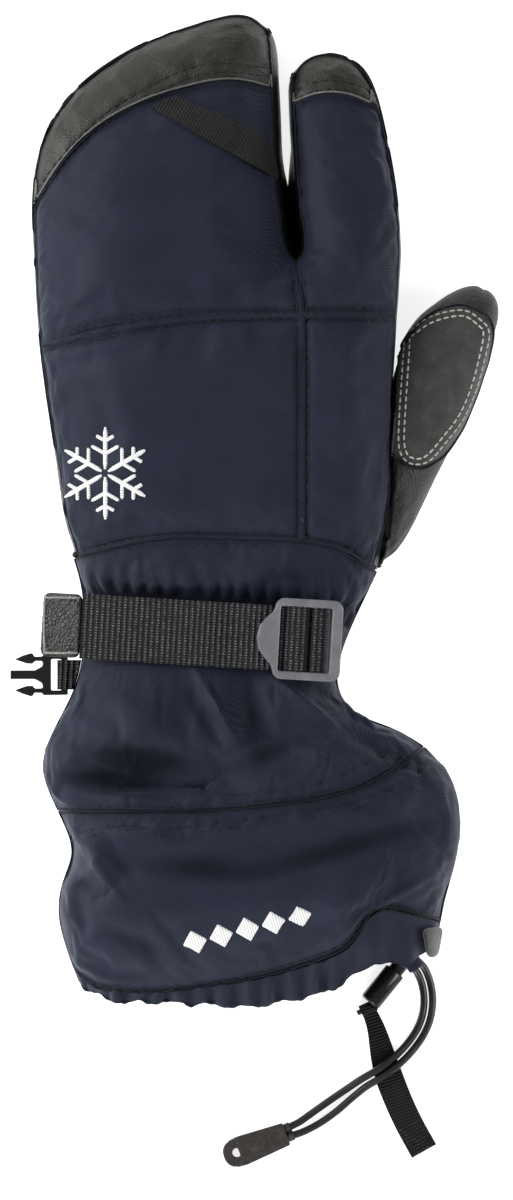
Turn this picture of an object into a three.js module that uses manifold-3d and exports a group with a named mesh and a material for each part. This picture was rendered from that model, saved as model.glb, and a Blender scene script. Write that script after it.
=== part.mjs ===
// A left-hand winter mitten with a separate index finger, lying palm down on a table.
// Millimetres. +X points to the thumb side, +Y to the fingertips, +Z up from the table.
// The origin is on the flat underside of the palm, in the middle of the hand.
import * as THREE from "three";
import { mergeVertices } from "three/addons/utils/BufferGeometryUtils.js";
import Module from "manifold-3d";

const wasm = await Module();
wasm.setup();

// Driving dimensions of the shell
const HAND_WALL = 3.2; // padded shell of the hand
const CUFF_WALL = 1.8; // unpadded shell of the gauntlet
const HEM_WALL = 1.2;
const THUMB_WALL = 2.6;
const PATCH_WALL = 1.3;
const RIBBON_WALL = 1;
const RIBBON_CLEAR = 0.45; // under the ribbon on the mitten's back
const PATCH_CLEAR = 0.6; // under the thumb's patch
const SEAM_GAP = 0.4; // between two sewn pieces
const LAY_GAP = 0.35; // between a piece and what it lies on
const EDGE_INSET = 2.2; // from the silhouette to the seam between the back and a side strip
const PALM_INSET_SHARE = 1.4; // the palm's inset as a share of the back's
const BACK_POWER = 2.5; // roundness of the back where it rolls down to the silhouette
const PALM_POWER = 2.3;
const PALM_ROLL = 17;
const PALM_PRESS = 0.8; // how far the palm would sink if the table did not flatten it
const GAP_ROLL = 16; // width over which each finger rolls down into the gap
const GAP_DROP = 0.42; // share of the back's height lost at the gap's seams
const GAP_LIFT = 0.35; // the same for the palm
const CAP_LIFT = 0.5; // how far the leather caps stand proud
const MERGE_FROM = 20; // below this y both sides round the back, above it each finger's own
const MERGE_OVER = 20;
const PERIMETER_PIECES = 1200;

// Numbers of grid cells along each stretch of a seam
const HAND_ROWS = 7;
const FINGER_ROWS = 8;
const CROTCH_ROWS = 2;
const CAP_ROWS = 4;
const INDEX_CAP_ROWS = 2;
const MITTEN_COLUMNS = 10;
const INDEX_COLUMNS = 6;
const UPPER_ROWS = 11;
const LOWER_ROWS = 8;
const BACK_COLUMNS = 24;
const PALM_COLUMNS = 8;
const HEM_ROWS = 2;
const HEM_DROP = 0.1; // share of a row that the band stays clear of the piping

const COLOURS = {
  navy: { color: 0x23283a, roughness: 0.85, metalness: 0 },
  leather: { color: 0x2b2a27, roughness: 0.6, metalness: 0 },
  suede: { color: 0x55554f, roughness: 0.9, metalness: 0 },
  webbing: { color: 0x1d1d1e, roughness: 0.8, metalness: 0 },
  buckle: { color: 0x6d6c72, roughness: 0.45, metalness: 0 },
  plastic: { color: 0x161617, roughness: 0.4, metalness: 0 },
  cord: { color: 0x2a2929, roughness: 0.7, metalness: 0 },
};

// Tables: one row for each section, point or fold, with named columns
const table = (columns, rows) =>
  rows.map((row) => Object.fromEntries(columns.map((name, i) => [name, row[i]])));

// Silhouette from the hem up the little-finger side and over the mitten's tip
const LITTLE_SIDE = table(
  ["x", "y"],
  [
    [-47.5, -203],
    [-50.5, -197],
    [-54, -187],
    [-57.4, -175],
    [-56.6, -163.5],
    [-51.6, -151],
    [-56, -140],
    [-63.5, -121.5],
    [-61, -111.5],
    [-54.5, -99.5],
    [-49.4, -87],
    [-48, -72],
    [-49.4, -54],
    [-55.4, -36],
    [-59, -14],
    [-62.5, 8],
    [-65.4, 30],
    [-67.4, 60],
    [-68, 84],
    [-66.4, 98],
    [-61.6, 111],
    [-53, 122.5],
    [-40, 133],
    [-23, 142],
    [-6, 147.6],
    [6.5, 151],
    [14.8, 149.3],
    [19.6, 143.5],
  ],
);

// Silhouette down into the gap, round the crotch and up to the index finger's inner corner,
// with the distance from each wall's outermost line to the seam on the back
const GAP_ROUTE = table(
  ["x", "y", "inset"],
  [
    [21.4, 134, 2.5],
    [22.3, 122, 2.7],
    [22.8, 105, 2.7],
    [23.6, 88, 2.7],
    [25.2, 74, 2.5],
    [26.6, 64.4, 2.3],
    [28.1, 61.8, 2],
    [29.6, 64.8, 1.7],
    [28.4, 76, 1.4],
    [27, 90, 1.3],
    [26, 106, 1.3],
    [25.4, 118, 1.5],
  ],
);

// Silhouette from there over the index finger's tip and down the thumb side to the hem
const THUMB_SIDE = table(
  ["x", "y"],
  [
    [25.4, 127.2],
    [30, 133.8],
    [37.5, 136.6],
    [45.5, 135.6],
    [53, 131.2],
    [57.4, 124],
    [60.2, 114],
    [63.2, 100],
    [65.6, 86],
    [67, 70],
    [66.6, 54],
    [65.2, 36],
    [64.2, 16],
    [63.4, -4],
    [63.4, -20],
    [61.6, -36],
    [57.6, -50],
    [51.8, -62.5],
    [46.6, -74],
    [42.8, -86],
    [43.4, -95],
    [50, -102.4],
    [61, -106.2],
    [72, -112],
    [81, -120.5],
    [86, -132],
    [87, -145],
    [85.2, -156],
    [81.6, -167],
    [79.6, -178],
    [77, -189],
  ],
);

// Height of the back's crown and of the silhouette above the table, and the width over which
// the back rolls down on each side
const HEIGHTS = table(
  ["y", "crown", "edge", "littleRoll", "thumbRoll"],
  [
    [-208, 38, 19, 30, 30],
    [-196, 45, 22, 34, 34],
    [-180, 53, 24, 44, 44],
    [-158, 57, 25, 48, 50],
    [-132, 55, 25, 46, 50],
    [-112, 51, 24, 38, 40],
    [-95, 46, 22, 30, 24],
    [-84, 42, 21, 26, 17],
    [-70, 41, 21, 26, 16],
    [-58, 42.5, 21, 28, 20],
    [-48, 47, 21, 34, 30],
    [-15, 50, 20, 42, 31],
    [20, 52, 19, 46, 31],
    [45, 51, 18, 46, 30],
    [65, 48, 17, 44, 26],
    [90, 44, 16, 42, 20],
    [115, 40, 14, 38, 18],
    [135, 36, 12.5, 34, 18],
    [152, 33, 12, 32, 18],
  ],
);

// The index finger is thinner than the mitten, by this much at its crown
const INDEX_DROP = table(
  ["y", "drop"],
  [
    [20, 0],
    [55, 2],
    [80, 5],
    [110, 6.5],
    [140, 8],
  ],
);
const INDEX_DROP_WIDTH = 14;

// Seam that carries on from the crotch to the wrist
const INDEX_SEAM = table(
  ["x", "y"],
  [
    [29, 50],
    [30.1, 40.7],
    [30.4, 10],
    [30.2, -40.4],
  ],
);

// Cross seams, each from the little-finger side to the thumb side, without their ends
const MITTEN_CAP_SEAM = table(
  ["x", "y"],
  [
    [-55.5, 96],
    [-43.5, 108],
    [-26, 117.6],
    [-10, 122.4],
    [5, 125.4],
  ],
);
const INDEX_CAP_SEAM = table(
  ["x", "y"],
  [
    [35, 119.9],
    [46, 119.9],
  ],
);
const KNUCKLE_SEAM = table(
  ["x", "y"],
  [
    [-43, 34.6],
    [-25, 37.4],
    [-8, 39.6],
    [30.1, 40.7],
    [48, 40.6],
  ],
);
const WRIST_SEAM = table(
  ["x", "y"],
  [
    [-31.5, -41],
    [-13.5, -38.9],
    [6.5, -39.4],
    [30.2, -40.4],
    [45.5, -43.8],
  ],
);
const PALM_WRIST_SEAM = table(
  ["x", "y"],
  [
    [-30, -44],
    [30.2, -44.6],
    [43, -46.5],
  ],
);
const CUFF_SEAM = table(
  ["x", "y"],
  [
    [-40, -136.4],
    [-8, -136.2],
    [16, -134.6],
    [34, -132.4],
    [51, -127.8],
    [63, -121],
  ],
);
const PALM_CUFF_SEAM = table(
  ["x", "y"],
  [
    [-20, -134],
    [30, -134],
  ],
);
const HEM_EDGE = table(
  ["x", "y"],
  [
    [-46, -199.2],
    [-37, -201],
    [-19.5, -201.4],
    [-3, -199],
    [16, -196],
    [34.6, -190.4],
    [45.6, -186],
    [50, -180.6],
    [52.8, -174.6],
    [58.4, -170.4],
    [68.8, -172.4],
  ],
);
const RUFFLE_EDGE = table(
  ["x", "y"],
  [
    [-44.5, -202.6],
    [-37.4, -205],
    [-20.9, -205.2],
    [-3.2, -206.2],
    [11.2, -207],
    [21.6, -205.4],
    [39.2, -201.4],
    [46, -197.6],
    [56.9, -191.2],
    [66, -192],
  ],
);
const RUFFLES = { every: 13, height: 1.8, sway: 0.8 };
const PALM_HEM_RISE = 2.6; // the palm's hem stays this much above the ruffle's edge

// Ends of the seams on the silhouette
const ENDS = {
  hemLeft: [-52.4, -192.6],
  ruffleLeft: [-50, -198.4],
  cuffLeft: [-58, -137],
  wristLeft: [-52, -46.5],
  knuckleLeft: [-65, 29],
  capLeft: [-68, 80],
  capCorner: [-57, 118],
  mittenCorner: [19.6, 143.5],
  capRight: [22.3, 122],
  crotch: [28.1, 61.8],
  indexCapLeft: [25.4, 116.5],
  indexCorner: [25.4, 127.2],
  indexCapCorner: [54, 130],
  indexCapRight: [60, 115.5],
  knuckleRight: [65.4, 40.2],
  wristRight: [57.2, -51],
  cuffRight: [74, -113.6],
  hemRight: [79.9, -176],
  ruffleRight: [77.8, -186],
};

// Folds of the gauntlet's back: a ridge (height above 0) or a furrow (below 0) along a line
const FOLDS = table(
  ["x", "y", "towardX", "towardY", "width", "height"],
  [
    [-52, -130, -34, -125, 8, -5],
    [-34, -125, -8, -130, 8, -7.5],
    [-8, -130, 8, -121, 7, -6],
    [-44, -110, -14, -108, 13, 4],
    [-5, -88, 9, -118, 4.5, 3.4],
    [21, -90, 42, -106, 4.5, 3],
    [8, -94, 24, -118, 7, -3.4],
    [-50, -146, -33, -172, 5.5, 4.5],
    [-55, -164, -44, -176, 7, -6],
    [-30, -156, 76, -142, 9, -5],
    [-22, -170, 58, -160, 10, 3],
    [-40, -143, 58, -124, 7, 2.6],
    [40, -184, 52, -164, 6, 3],
    [44, -100, 64, -116, 6, -3],
  ],
);
const FOLD_FADE = 14; // folds die out over this distance from the silhouette
const FOLD_END = 0.45; // share of a fold's height at its two ends
const GATHERS = { every: 9.5, depth: 1.2, from: -43, to: -57 }; // shirring above the strap

// Thumb: an axis on the table from its root, and oval sections across it
const THUMB_ROOT = { x: 43.4, y: -59.6 };
const THUMB_TURN = THREE.MathUtils.degToRad(24); // from +Y towards +X
const THUMB_POWER = 2.5;
const THUMB_SIDES = 16;
const THUMB_SECTIONS = table(
  ["along", "centre", "half", "bottom", "top"],
  [
    [6, -8, 6, 8, 26],
    [14, -4.5, 13, 2, 30],
    [26, -2.6, 16, 0, 32],
    [44, -1.6, 16.4, 0, 33],
    [60, -0.8, 16, 0, 32.6],
    [76, -0.1, 15.8, 0, 32],
    [90, -0.6, 15.3, 0, 31],
    [101, -0.2, 13.7, 0.2, 29.6],
    [109, 1.4, 11.3, 1.4, 27],
    [115, 3, 8.8, 3.4, 24],
    [119.4, 4, 5.4, 6.6, 20],
    [121.2, 4.2, 2, 10.4, 16],
  ],
);
const THUMB_HOLLOW_END = 118.6; // along the axis
const PATCH_ROWS = table(
  ["along", "right", "left"],
  [
    [53, 62, 108],
    [57, 44, 122],
    [64, 27, 138],
    [74, 14, 150],
    [86, 10, 156],
    [97, 12, 156],
    [104, 20, 146],
    [109.5, 38, 128],
    [112.5, 62, 106],
  ],
);
const PATCH_COLUMNS = 6;

// Ribbon across the mitten's back, from the cap to the gap
const RIBBON_UPPER = table(
  ["x", "y"],
  [
    [-15.4, 119.2],
    [3, 111.2],
    [18.6, 102.4],
  ],
);
const RIBBON_LOWER = table(
  ["x", "y"],
  [
    [-24.4, 114.6],
    [-2, 101.6],
    [20.6, 89.2],
  ],
);

// Wrist strap and its buckle, in a frame that runs along the strap
const STRAP = {
  x: -49, // where the webbing leaves the pull tab
  y: -70.6,
  turn: THREE.MathUtils.degToRad(-3.4),
  width: 23,
  thick: 1.4,
  leaves: 24, // along the strap, where its tail starts to hang free of the back
  droop: 0.007,
  sewnAt: 28, // along the strap, where the layer below is sewn down
  step: 6,
  upperStops: 22, // short of the buckle's middle
  lowerStarts: 24,
  margin: 1.5, // beyond its edges, over which it clears the back
};
const PULL_TAB = { length: 14.2, width: 22.8, thick: 3, corner: 2.5 };
const BUCKLE = {
  along: 81, // from the strap's start to the middle of the frame
  length: 24.4,
  width: 29,
  thick: 2.6,
  bump: 6.2, // how far the grip stands out beyond the frame
  windowFrom: -10.3,
  windowTo: 8.4,
  rail: 2.9,
  barFrom: -5.4,
  barTo: -1.8,
  barLow: -0.6,
  barHigh: 0.9,
  corner: 3.4,
  tilt: THREE.MathUtils.degToRad(9),
  feelers: [-18, -12, -6, 0, 6, 12], // where the back's height is read below it
};
// Webbing round the buckle's middle bar: along the strap from the frame's middle, and height
// above its underside
const STRAP_IN_BUCKLE = table(
  ["along", "height"],
  [
    [-18, -1],
    [-12, -1],
    [-9.2, -0.6],
    [-7.6, 0.7],
    [-5.6, 1.85],
    [-3.6, 1.95],
    [-1.6, 1.85],
    [-0.4, 1],
    [-0.1, 0.1],
    [-0.5, -0.9],
    [-1.7, -1.7],
    [-5.4, -1.9],
    [-8.6, -2.6],
    [-13, -2.75],
    [-18, -2.75],
  ],
);
const ANCHOR_IN_BUCKLE = table(
  ["along", "height"],
  [
    [1.4, 1.3],
    [3.8, 1.3],
    [6, 0.5],
    [7.1, -1.4],
  ],
);
const ANCHOR_FOOT = 7.2; // along the strap from the frame's middle

// Side-release clip, seen from above: half of its outline, the other half mirrors it
const CLIP = { x: -62, y: -88, z: 19.4, thick: 3, barHalf: 1.5, slotHalf: 5.6 };
const CLIP_HALF = table(
  ["x", "y"],
  [
    [-12.4, 1.6],
    [-3.6, 1.6],
    [-1, 3],
    [-0.8, 4.8],
    [-3.7, 4.9],
    [-4.4, 3.9],
    [-6.6, 4],
    [-10.9, 5.5],
    [-8, 6.9],
    [-5, 7.8],
    [-4.2, 7.5],
    [-3.9, 6.5],
    [-0.9, 6.6],
    [-0.6, 7.4],
    [8.2, 7.2],
  ],
);
const CLIP_SLOT = { from: 2.2, to: 6 };
const CLIP_WEBBING = { thick: 1.2, half: 5.3, leaves: 7.2, rises: 8.8, short: 0.8 };
const CLIP_LOOP = table(
  ["x", "z"],
  [
    [11.6, 1],
    [9, 2.3],
    [7.2, 2.5],
    [5.7, 2.2],
    [4.95, 1],
    [4.95, -1],
    [5.7, -2.2],
    [7.2, -2.5],
    [9, -2.3],
    [11.6, -1],
  ],
);

// Leather tab over the hem's thumb-side end
const TAB_SIDES = table(
  ["y", "left", "right"],
  [
    [-177.4, 71.4, 79.4],
    [-181, 72, 78.6],
    [-185, 72.6, 78],
    [-188.6, 73.6, 77],
  ],
);
const TAB_TIP = 1.6; // how far its end bows out
const TAB_WALL = 1.6;
const TAB_CLEAR = 0.9;

// Cord lock, lying on the table along its own axis: a barrel and a sprung plunger
const LOCK = { x: 55.1, y: -205.4, turn: THREE.MathUtils.degToRad(51.2), sides: 14 };
const BARREL = { radius: 4, bore: 3.25, length: 14.6, floor: 5, bevel: 0.7 };
const PLUNGER = { radius: 2.9, head: 3.5, headLong: 1.4, length: 9, out: 4.4, bevel: 0.4 };

// Elastic drawcord, doubled: its middle line, height and half the distance of its strands
const CORD_RADIUS = 1.35;
const CORD_SIDES = 8;
const CORD_STEPS = 25;
const CORD_ROUTE = table(
  ["x", "y", "z", "split"],
  [
    [70.9, -192.2, 3.4, 1.55],
    [72.8, -194.2, 2.4, 1.55],
    [74.4, -197.6, 1.6, 1.55],
    [75.4, -201.6, 1.4, 1.55],
    [75.7, -206.2, 1.4, 1.55],
    [75, -211.2, 1.4, 1.55],
    [73.2, -216, 1.4, 1.55],
    [70.4, -220.4, 1.7, 1.55],
    [66.8, -224.6, 2.4, 1.55],
    [62.6, -228.4, 2.9, 1.55],
    [57.8, -231.8, 2.9, 1.55],
    [52.4, -235, 2.3, 1.6],
    [47, -239, 1.6, 1.9],
    [41, -243.6, 1.4, 2.3],
    [35, -247.8, 1.4, 2.3],
    [30, -250.8, 1.8, 1.9],
    [25.1, -252.8, 2.4, 1.6],
  ],
);
const CORD_END = {
  x: 24.6,
  y: -253.3,
  turn: THREE.MathUtils.degToRad(200.7),
  thick: 5,
  mouth: 4.2,
  far: 5.4,
  straight: 17,
  length: 24,
  hole: 1.7,
  holeAt: 19,
  holePoint: 13.4,
};
const PULL_RIBBON_ROUTE = table(
  ["x", "y", "half"],
  [
    [54.2, -208.9, 2.6],
    [56.4, -213.6, 3],
    [58.8, -223, 4.2],
    [61.2, -231.8, 5],
    [64.8, -241.2, 5],
    [68.4, -249.1, 5],
    [74.2, -259.6, 5],
  ],
);
const PULL_RIBBON_THICK = 1.1;
const PULL_RIBBON_PIECES = 12;

// Plane geometry
const clamp = (value, low, high) => Math.min(high, Math.max(low, value));
const mix = (a, b, t) => a + (b - a) * t;
const smooth = (t) => clamp(t, 0, 1) ** 2 * (3 - 2 * clamp(t, 0, 1));
const plan = (x, y) => new THREE.Vector2(x, y);
const flat = (p) => plan(p.x, p.y);

// A smooth open curve through points, as evenly spaced plane points
function curveThrough(points, pieces) {
  const knots = points.map((p) => new THREE.Vector3(p.x, p.y, 0));
  const curve = new THREE.CatmullRomCurve3(knots, false, "centripetal");
  curve.arcLengthDivisions = pieces * 2;
  return curve.getSpacedPoints(pieces).map(flat);
}

// A column of a table at a given y, with smooth slopes
function readTable(rows, column, y) {
  const last = rows.length - 1;
  const rising = rows[last].y > rows[0].y;
  const low = rising ? rows[0].y : rows[last].y;
  const high = rising ? rows[last].y : rows[0].y;
  const inside = clamp(y, low, high);
  let i = 0;
  while (i < last - 1 && (rising ? rows[i + 1].y < inside : rows[i + 1].y > inside)) i += 1;
  const slope = (k) => {
    const a = rows[Math.max(k - 1, 0)];
    const b = rows[Math.min(k + 1, last)];
    return (b[column] - a[column]) / (b.y - a.y);
  };
  const step = rows[i + 1].y - rows[i].y;
  const t = (inside - rows[i].y) / step;
  const bend = t * t * (3 - 2 * t);
  const start = t * (1 - t) ** 2 * step * slope(i);
  const end = t * t * (t - 1) * step * slope(i + 1);
  return mix(rows[i][column], rows[i + 1][column], bend) + start + end;
}

// Nearest point of a polyline
function nearest(line, x, y) {
  let best = { distance: Infinity, x: 0, y: 0, at: 0 };
  for (let i = 0; i < line.length - 1; i += 1) {
    const a = line[i];
    const b = line[i + 1];
    const dx = b.x - a.x;
    const dy = b.y - a.y;
    const t = clamp(((x - a.x) * dx + (y - a.y) * dy) / (dx * dx + dy * dy), 0, 1);
    const px = a.x + t * dx;
    const py = a.y + t * dy;
    const distance = Math.hypot(x - px, y - py);
    if (distance < best.distance) best = { distance, x: px, y: py, at: i + t };
  }
  return best;
}

// The left-hand normal of a polyline: it points out of the hand, as the silhouette runs
// up the little-finger side
function outwardAt(line, at) {
  const i = Math.min(Math.floor(at), line.length - 2);
  const a = line[Math.max(i - 1, 0)];
  const b = line[Math.min(i + 2, line.length - 1)];
  return plan(-(b.y - a.y), b.x - a.x).normalize();
}

// Lengths along a polyline, from its start to each of its points
function runLengths(line) {
  const lengths = [0];
  for (let i = 1; i < line.length; i += 1) {
    lengths.push(lengths[i - 1] + line[i].distanceTo(line[i - 1]));
  }
  return lengths;
}

const CROWD = 1.6;
const EASES = {
  even: (t) => t,
  start: (t) => t ** CROWD,
  end: (t) => 1 - (1 - t) ** CROWD,
  both: (t) => (t < 0.5 ? 0.5 * (2 * t) ** 1.35 : 1 - 0.5 * (2 - 2 * t) ** 1.35),
};

// Points along a polyline, at even steps or steps that crowd towards an end
function walk(line, pieces, crowd = "even") {
  const lengths = runLengths(line);
  return Array.from({ length: pieces + 1 }, (_, k) => {
    const target = EASES[crowd](k / pieces) * lengths.at(-1);
    let i = 0;
    while (i < line.length - 2 && lengths[i + 1] < target) i += 1;
    const t = (target - lengths[i]) / (lengths[i + 1] - lengths[i]);
    return line[i].clone().lerp(line[i + 1], clamp(t, 0, 1));
  });
}

// The stretch of a polyline between two points near it, with those two points as its ends
function stretch(line, from, to) {
  const a = nearest(line, from.x, from.y).at;
  const b = nearest(line, to.x, to.y).at;
  const low = Math.min(a, b) + 0.5;
  const high = Math.max(a, b) - 0.5;
  const middle = line.filter((_, i) => i > low && i < high).map((p) => p.clone());
  if (a > b) middle.reverse();
  return [flat(from), ...middle, flat(to)];
}

// Silhouette, with the stations of its seams' ends
const perimeterCurve = new THREE.CatmullRomCurve3(
  [...LITTLE_SIDE, ...GAP_ROUTE, ...THUMB_SIDE].map(
    (p) => new THREE.Vector3(p.x, p.y, p.inset ?? EDGE_INSET),
  ),
  false,
  "centripetal",
);
perimeterCurve.arcLengthDivisions = PERIMETER_PIECES * 2;
const perimeter = perimeterCurve.getSpacedPoints(PERIMETER_PIECES);
const endAt = Object.fromEntries(
  Object.entries(ENDS).map(([name, [x, y]]) => [name, nearest(perimeter, x, y).at]),
);
const littleOuter = perimeter.slice(0, Math.round(endAt.mittenCorner) + 1);
const gapWall = perimeter.slice(Math.round(endAt.mittenCorner), Math.round(endAt.indexCorner) + 1);
const thumbOuter = perimeter.slice(Math.round(endAt.indexCorner));

// A place on the silhouette: its outermost point, and the seam points on back and palm
function station(at) {
  const i = Math.min(Math.floor(at), perimeter.length - 2);
  const point = perimeter[i].clone().lerp(perimeter[i + 1], at - i);
  const outward = outwardAt(perimeter, at);
  const seam = (inset) => flat(point).addScaledVector(outward, -inset);
  return {
    mid: flat(point),
    outward,
    top: seam(point.z),
    bottom: seam(point.z * PALM_INSET_SHARE),
  };
}
const stations = (from, to, pieces, crowd = "even") =>
  Array.from({ length: pieces + 1 }, (_, k) =>
    station(mix(endAt[from], endAt[to], EASES[crowd](k / pieces))),
  );
const end = (name) => station(endAt[name]);

// Height surfaces of the back and the palm
const roundOff = (distance, roll, power) =>
  (1 - (1 - clamp(distance / roll, 0, 1)) ** power) ** (1 / power);

function foldHeight(x, y) {
  let sum = 0;
  for (const fold of FOLDS) {
    const dx = fold.towardX - fold.x;
    const dy = fold.towardY - fold.y;
    const along = ((x - fold.x) * dx + (y - fold.y) * dy) / (dx * dx + dy * dy);
    const t = clamp(along, 0, 1);
    const away = Math.hypot(x - fold.x - t * dx, y - fold.y - t * dy);
    const fade = mix(FOLD_END, 1, Math.sin(Math.PI * t));
    sum += fold.height * fade * Math.exp(-((away / fold.width) ** 2));
  }
  const middle = (GATHERS.from + GATHERS.to) / 2;
  const reach = (GATHERS.from - GATHERS.to) / 2;
  const nearGathers = Math.exp(-2 * ((y - middle) / reach) ** 2);
  return sum - GATHERS.depth * nearGathers * (1 + Math.sin((2 * Math.PI * x) / GATHERS.every));
}

// The line that parts the mitten's half from the index finger's half
const PARTING = [
  { x: 21.9, y: 148 },
  { x: 23.6, y: 128 },
  { x: 24.3, y: 108 },
  { x: 25.4, y: 88 },
  { x: 27, y: 74 },
  { x: 28.1, y: 62 },
  ...INDEX_SEAM,
];
const partingX = (y) => readTable(PARTING, "x", y);

function heightAt(x, y, isBack, thumbHalf) {
  const edge = readTable(HEIGHTS, "edge", y);
  const littleRim = nearest(littleOuter, x, y).distance;
  const thumbRim = nearest(thumbOuter, x, y).distance;
  const own = smooth((y - MERGE_FROM) / MERGE_OVER);
  const shareOf = (rollColumn, power) => {
    const little = roundOff(littleRim, isBack ? readTable(HEIGHTS, "littleRoll", y) : rollColumn, power);
    const thumb = roundOff(thumbRim, isBack ? readTable(HEIGHTS, "thumbRoll", y) : rollColumn, power);
    return thumbHalf ? thumb * mix(little, 1, own) : little * mix(thumb, 1, own);
  };
  const gap = nearest(gapWall, x, y);
  const gapInset = perimeter[Math.round(endAt.mittenCorner + gap.at)].z;
  const fromGap = Math.max(0, gap.distance - gapInset);
  const dip = 1 - roundOff(fromGap, GAP_ROLL, 2);
  if (!isBack) {
    const depth = (edge + PALM_PRESS) * shareOf(PALM_ROLL, PALM_POWER) * (1 - GAP_LIFT * dip);
    return Math.max(0, edge - depth);
  }
  const drop = readTable(INDEX_DROP, "drop", y) * smooth((x - partingX(y)) / INDEX_DROP_WIDTH);
  const rise = readTable(HEIGHTS, "crown", y) - drop - edge;
  const folds = foldHeight(x, y) * smooth(Math.min(littleRim, thumbRim) / FOLD_FADE);
  return edge + rise * shareOf(0, BACK_POWER) * (1 - GAP_DROP * dip) + folds;
}

// A point of the shell with its outward normal
const SLOPE_STEP = 0.25;
const RIM_TURN = 1.2; // over this distance from the silhouette the normal turns level
function shellPoint(x, y, isBack, thumbHalf = x > partingX(y)) {
  const h = (dx, dy) => heightAt(x + dx, y + dy, isBack, thumbHalf);
  const slopeX = (h(SLOPE_STEP, 0) - h(-SLOPE_STEP, 0)) / (2 * SLOPE_STEP);
  const slopeY = (h(0, SLOPE_STEP) - h(0, -SLOPE_STEP)) / (2 * SLOPE_STEP);
  const up = isBack ? 1 : -1;
  const normal = new THREE.Vector3(-up * slopeX, -up * slopeY, up).normalize();
  const little = nearest(littleOuter, x, y);
  const thumb = nearest(thumbOuter, x, y);
  const [line, rim] = little.distance < thumb.distance ? [littleOuter, little] : [thumbOuter, thumb];
  const outward = outwardAt(line, rim.at);
  const level = 1 - smooth(rim.distance / RIM_TURN);
  normal.lerp(new THREE.Vector3(outward.x, outward.y, 0), level).normalize();
  return { point: new THREE.Vector3(x, y, h(0, 0)), normal };
}

// Closed meshes
function meshFrom(triangles) {
  const geometry = new THREE.BufferGeometry();
  const numbers = triangles.flatMap((corners) => corners.flatMap((p) => [p.x, p.y, p.z]));
  geometry.setAttribute("position", new THREE.Float32BufferAttribute(numbers, 3));
  return facingOut(mergeVertices(geometry, 1e-4));
}

function facingOut(geometry) {
  const index = geometry.index.array;
  const corner = (i) => new THREE.Vector3().fromBufferAttribute(geometry.attributes.position, index[i]);
  let volume = 0;
  for (let i = 0; i < index.length; i += 3) {
    volume += corner(i).dot(corner(i + 1).cross(corner(i + 2)));
  }
  if (volume < 0) {
    for (let i = 0; i < index.length; i += 3) [index[i], index[i + 1]] = [index[i + 1], index[i]];
  }
  return geometry;
}

// Two grids of points, outer and inner, closed along their rims into one wall
function wallFrom(outer, inner) {
  const triangles = [];
  const lastRow = outer.length - 1;
  const lastColumn = outer[0].length - 1;
  const quad = (a, b, c, d) => triangles.push([a, b, c], [a, c, d]);
  for (let i = 0; i < lastRow; i += 1) {
    for (let j = 0; j < lastColumn; j += 1) {
      quad(outer[i][j], outer[i][j + 1], outer[i + 1][j + 1], outer[i + 1][j]);
      quad(inner[i][j], inner[i + 1][j], inner[i + 1][j + 1], inner[i][j + 1]);
    }
    quad(outer[i][0], outer[i + 1][0], inner[i + 1][0], inner[i][0]);
    quad(outer[i + 1][lastColumn], outer[i][lastColumn], inner[i][lastColumn], inner[i + 1][lastColumn]);
  }
  for (let j = 0; j < lastColumn; j += 1) {
    quad(outer[0][j + 1], outer[0][j], inner[0][j], inner[0][j + 1]);
    quad(outer[lastRow][j], outer[lastRow][j + 1], inner[lastRow][j + 1], inner[lastRow][j]);
  }
  return meshFrom(triangles);
}

// Pull the rim of both grids in by half a seam gap, so that sewn neighbours stay apart
function openSeams(outer, inner) {
  const lastRow = outer.length - 1;
  const lastColumn = outer[0].length - 1;
  const moves = [];
  const pull = (i, j, di, dj) => {
    const way = outer[i + di][j + dj].clone().sub(outer[i][j]);
    const before = outer[Math.max(i - Math.abs(dj), 0)][Math.max(j - Math.abs(di), 0)];
    const after = outer[Math.min(i + Math.abs(dj), lastRow)][Math.min(j + Math.abs(di), lastColumn)];
    const along = after.clone().sub(before).normalize();
    way.addScaledVector(along, -way.dot(along));
    moves.push([i, j, way.setLength(SEAM_GAP / 2)]);
  };
  for (let i = 0; i <= lastRow; i += 1) {
    pull(i, 0, 0, 1);
    pull(i, lastColumn, 0, -1);
  }
  for (let j = 0; j <= lastColumn; j += 1) {
    pull(0, j, 1, 0);
    pull(lastRow, j, -1, 0);
  }
  for (const [i, j, way] of moves) {
    outer[i][j].add(way);
    inner[i][j].add(way);
  }
}

// Plane grid between four edge lines; left and right run upwards, bottom and top rightwards
function patch(bottom, top, left, right, crowd = "both") {
  const rows = left.length - 1;
  const columns = bottom.length - 1;
  return left.map((_, i) =>
    bottom.map((_, j) => {
      const u = EASES[crowd](j / columns);
      const v = i / rows;
      const blend = (key) =>
        mix(bottom[j][key], top[j][key], v) +
        mix(left[i][key], right[i][key], u) -
        mix(mix(bottom[0][key], bottom[columns][key], u), mix(top[0][key], top[columns][key], u), v);
      return plan(blend("x"), blend("y"));
    }),
  );
}

// A sewn panel: a plane grid lifted onto the shell, with a wall thickness
function panel(grid, { back = true, wall = HAND_WALL, lift = 0 } = {}) {
  const outer = [];
  const inner = [];
  for (const row of grid) {
    const shell = row.map((p) => shellPoint(p.x, p.y, back, p.thumbHalf));
    outer.push(shell.map(({ point, normal }) => point.clone().addScaledVector(normal, lift)));
    inner.push(shell.map(({ point, normal }) => point.clone().addScaledVector(normal, lift - wall)));
  }
  openSeams(outer, inner);
  return wallFrom(outer, inner);
}

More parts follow.
